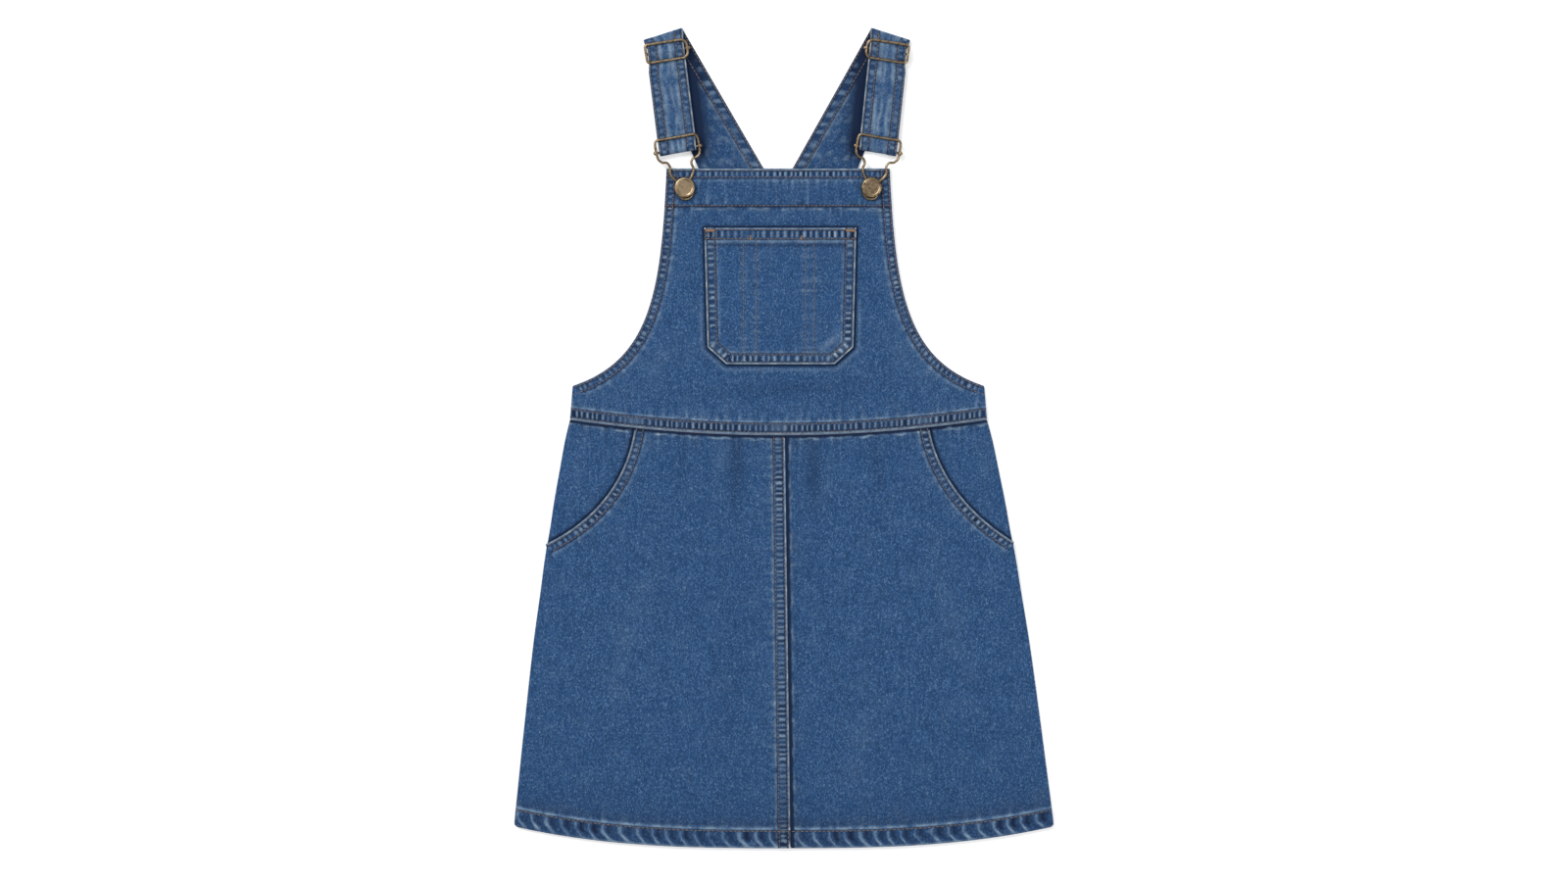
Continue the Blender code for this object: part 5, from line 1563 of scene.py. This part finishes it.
def ribbon(name, outer, inner, wears, shades):
    """A closed ribbon with two fine faces."""
    rows, columns = outer.shape[:2]
    top = np.arange(rows * columns).reshape(rows, columns)
    low = top + top.size
    faces = quads(top).tolist() + quads(low)[:, ::-1].tolist()
    for upper, lower, way in ((top[0], low[0], 1), (top[-1], low[-1], -1),
                              (top[:, 0], low[:, 0], -1), (top[:, -1], low[:, -1], 1)):
        rim = np.stack([upper[:-1], lower[:-1], lower[1:], upper[1:]], -1)
        faces += rim[:, ::way].tolist()
    points = np.vstack([outer.reshape(-1, 3), inner.reshape(-1, 3)])
    return cloth_mesh(name, points, faces, "washed_denim", np.concatenate(wears),
                      np.concatenate(shades))


# ---- operators: hardware ----
def wire(points, closed=True):
    """A round wire through points in mm, as a mesh."""
    curve = bpy.data.curves.new("wire", "CURVE")
    curve.dimensions = "3D"
    curve.bevel_depth = WIRE * MM
    curve.bevel_resolution = bpy.context.scene.dress_hardware.sides
    curve.use_fill_caps = not closed
    spline = curve.splines.new("POLY")
    spline.points.add(len(points) - 1)
    for target, point in zip(spline.points, points):
        target.co = (*(Vector(point) * MM), 1.0)
    spline.use_cyclic_u = closed
    drawn = new_object("wire", curve)
    evaluated = drawn.evaluated_get(bpy.context.evaluated_depsgraph_get())
    mesh = bpy.data.meshes.new_from_object(evaluated)
    bpy.data.objects.remove(drawn)
    return mesh


def as_mesh(name, made):
    mesh = bpy.data.meshes.new(name)
    made.to_mesh(mesh)
    made.free()
    return mesh


def joined(name, meshes, finish):
    """Several metal meshes as one object that stands for the solid of that name."""
    whole = bmesh.new()
    for mesh in meshes:
        whole.from_mesh(mesh)
        bpy.data.meshes.remove(mesh)
    bmesh.ops.remove_doubles(whole, verts=whole.verts[:], dist=1e-7)
    bmesh.ops.recalc_face_normals(whole, faces=whole.faces[:])
    label = "cap" if name.startswith("button") else "wire"
    mesh = as_mesh(f"{name}_{label}", whole)
    mesh.materials.clear()
    mesh.shade_smooth()
    mesh.set_sharp_from_angle(angle=math.radians(50))
    settle(new_object(mesh.name, mesh, finish), "hardware", name)


def ball(place):
    made = bmesh.new()
    bmesh.ops.create_uvsphere(made, u_segments=20, v_segments=14, radius=KNOB * MM)
    for corner in made.verts:
        corner.co += Vector(place) * MM
    return as_mesh("ball", made)


def placed(side, point, z):
    return (float(centre_x(point[1])) + side * point[0], point[1], z)


class DRESS_OT_hardware(bpy.types.Operator):
    """Make the buckles, sliders and buttons"""
    bl_idname = "dress.hardware"
    bl_label = "Hardware"

    def execute(self, context):
        for side in (LEFT, RIGHT):
            self.buckle(side)
            self.slider(side)
            self.button(side)
        return {"FINISHED"}

    def buckle(self, side):
        across, along = tilted(BUCKLE_TILT)
        button = np.array([BUTTON_OUT, BUTTON_Y])
        loop = [*BUCKLE_BENDS, *((-out, run, z) for out, run, z in BUCKLE_BENDS[-2:0:-1])]
        points = [placed(side, button + across * p[0] + along * p[1], p[2])
                  for p in rounded(loop, 7, closed=True)]
        reach = max(out for out, _, _ in BUCKLE_BENDS) + KNOB_OUT
        ends = [crossbar_place() + across * reach * way for way in (-1, 1)]
        bar = [placed(side, end, CROSSBAR_Z) for end in ends]
        knobs = [ball(placed(side, end, CROSSBAR_Z + KNOB_LIFT)) for end in ends]
        joined(f"buckle_{SIDE_NAME[side]}", [wire(points), wire(bar, False), *knobs], "brass_wire")

    def slider(self, side):
        across, along = tilted(SLIDER_TILT)
        start, _, _, direction = strap_line()
        middle = start + direction * SLIDER_AT
        corners = (             # across, along, radius, first angle
            (-SLIDER_OUT, -SLIDER_HALF, SLIDER_OUTER_BEND, math.pi),
            (SLIDER_IN, -SLIDER_HALF, SLIDER_INNER_BEND, -math.pi / 2),
            (SLIDER_IN, SLIDER_HALF, SLIDER_INNER_BEND, 0.0),
            (-SLIDER_OUT, SLIDER_HALF, SLIDER_OUTER_BEND, math.pi / 2),
        )
        points = []
        for u, w, radius, first in corners:
            hub = np.array([u - math.copysign(radius, u), w - math.copysign(radius, w)])
            for angle in first + np.linspace(0, math.pi / 2, 12):
                local = hub + radius * np.array([math.cos(angle), math.sin(angle)])
                points.append(placed(side, middle + across * local[0] + along * local[1], SLIDER_Z))
        outer_end, inner_end = (middle + across * u for u in (-SLIDER_OUT, SLIDER_IN + KNOB_OUT))
        bar = [placed(side, end, SLIDER_BAR_Z) for end in (outer_end, inner_end)]
        knob = ball(placed(side, inner_end, SLIDER_BAR_Z + KNOB_LIFT))
        joined(f"slider_{SIDE_NAME[side]}", [wire(points), wire(bar, False), knob], "brass_wire")

    def button(self, side):
        name = f"button_{SIDE_NAME[side]}"
        low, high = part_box(name)
        base, top = low[2] / MM, high[2] / MM
        under = top - BUTTON_THICK
        radius = BUTTON_RADIUS
        profile = ((0.0, top - 0.22), (2.0, top - 0.20), (radius - 2.6, top - 0.32),
                   (radius - 2.2, top - 0.28), (radius - 1.8, top - 0.03), (radius - 1.3, top),
                   (radius - 0.7, top - 0.12), (radius - 0.2, top - 0.5), (radius, top - 1.0),
                   (radius - 0.25, under + 0.3), (radius - 1.0, under), (BUTTON_SHANK, under),
                   (BUTTON_SHANK, base), (0.0, base))
        mesh = bmesh.new()
        corners = [mesh.verts.new(Vector((r, 0, z)) * MM) for r, z in profile]
        edges = [mesh.edges.new(pair) for pair in zip(corners, corners[1:])]
        bmesh.ops.spin(mesh, geom=corners + edges, axis=(0, 0, 1), cent=(0, 0, 0),
                       angle=math.tau, steps=56, use_merge=True)
        bmesh.ops.remove_doubles(mesh, verts=mesh.verts[:], dist=1e-6)
        middle = (Vector(low) + Vector(high)) / 2
        for corner in mesh.verts:
            corner.co += Vector((middle[0], middle[1], 0))
        joined(name, [as_mesh(name, mesh)], f"brass_cap_{SIDE_NAME[side]}")


# ---- operator: stage ----
class DRESS_OT_stage(bpy.types.Operator):
    """Make the camera, the pale floor and the soft light"""
    bl_idname = "dress.stage"
    bl_label = "Stage"

    def execute(self, context):
        scene = context.scene
        stage = scene.dress_stage
        aim = Vector((0.0, -0.0025, 0.0))
        camera = bpy.data.cameras.new("camera")
        camera.sensor_width = 36.0
        camera.lens = camera.sensor_width * stage.camera_height / stage.view_width
        scene.camera = new_object("camera", camera)
        scene.camera.location = aim + Vector((0, 0, stage.camera_height))
        self.floor(context)
        for name, place, size, power in (
                ("key_light", (-1.5, 1.6, 2.4), 1.6, stage.key_power),
                ("fill_light", (1.7, -0.8, 2.2), 2.2, 0.45 * stage.key_power)):
            light = bpy.data.lights.new(name, "AREA")
            light.shape = "SQUARE"
            light.size = size
            light.energy = power
            lamp = new_object(name, light)
            lamp.location = place
            lamp.rotation_euler = (aim - Vector(place)).to_track_quat("-Z", "Y").to_euler()
        world_light = bpy.data.worlds.new("studio")
        world_light.use_nodes = True
        background = world_light.node_tree.nodes["Background"]
        background.inputs["Color"].default_value = (1.0, 1.0, 1.0, 1.0)
        background.inputs["Strength"].default_value = stage.sky
        scene.world = world_light
        scene.view_settings.view_transform = "Standard"
        return {"FINISHED"}

    def floor(self, context):
        made = bmesh.new()
        bmesh.ops.create_grid(made, x_segments=2, y_segments=2, size=6.0)
        _, nodes, shader = new_material("paper_floor", {
            "Roughness": 0.9, "Emission Color": (1.0, 1.0, 1.0, 1.0),
            "Emission Strength": context.scene.dress_stage.glow})
        grain = nodes.noise(nodes.place(), 300.0)
        nodes.put(shader["Base Color"],
                  nodes.blend(grain, (0.93, 0.93, 0.93, 1), (0.95, 0.95, 0.95, 1)))
        floor = new_object("floor", as_mesh("floor", made), "paper_floor")
        floor.location.z = -0.0002


# ---- panel and registration ----
STEPS = (
    DRESS_OT_materials, DRESS_OT_backs, DRESS_OT_hip_panels, DRESS_OT_skirt, DRESS_OT_bodice,
    DRESS_OT_pocket, DRESS_OT_straps, DRESS_OT_hardware, DRESS_OT_stage,
)
SETTINGS = {
    "dress_cloth": DressClothSettings,
    "dress_sewing": DressSewingSettings,
    "dress_hardware": DressHardwareSettings,
    "dress_stage": DressStageSettings,
}


class DRESS_PT_panel(bpy.types.Panel):
    """Lists the dress's settings and steps"""
    bl_idname = "DRESS_PT_panel"
    bl_label = "Denim overall dress"
    bl_space_type = "VIEW_3D"
    bl_region_type = "UI"
    bl_category = "Dress"

    def draw(self, context):
        for name, group in SETTINGS.items():
            box = self.layout.box()
            for label in group.__annotations__:
                box.prop(getattr(context.scene, name), label)
        for step in STEPS:
            self.layout.operator(step.bl_idname)


CLASSES = (*SETTINGS.values(), *STEPS, DRESS_PT_panel)


def register():
    for item in CLASSES:
        bpy.utils.register_class(item)
    for name, group in SETTINGS.items():
        setattr(bpy.types.Scene, name, PointerProperty(type=group))


def unregister():
    for name in SETTINGS:
        delattr(bpy.types.Scene, name)
    for item in reversed(CLASSES):
        bpy.utils.unregister_class(item)


def main():
    register()
    for step in STEPS:
        group, name = step.bl_idname.split(".")
        getattr(getattr(bpy.ops, group), name)()


if __name__ == "__main__":
    main()
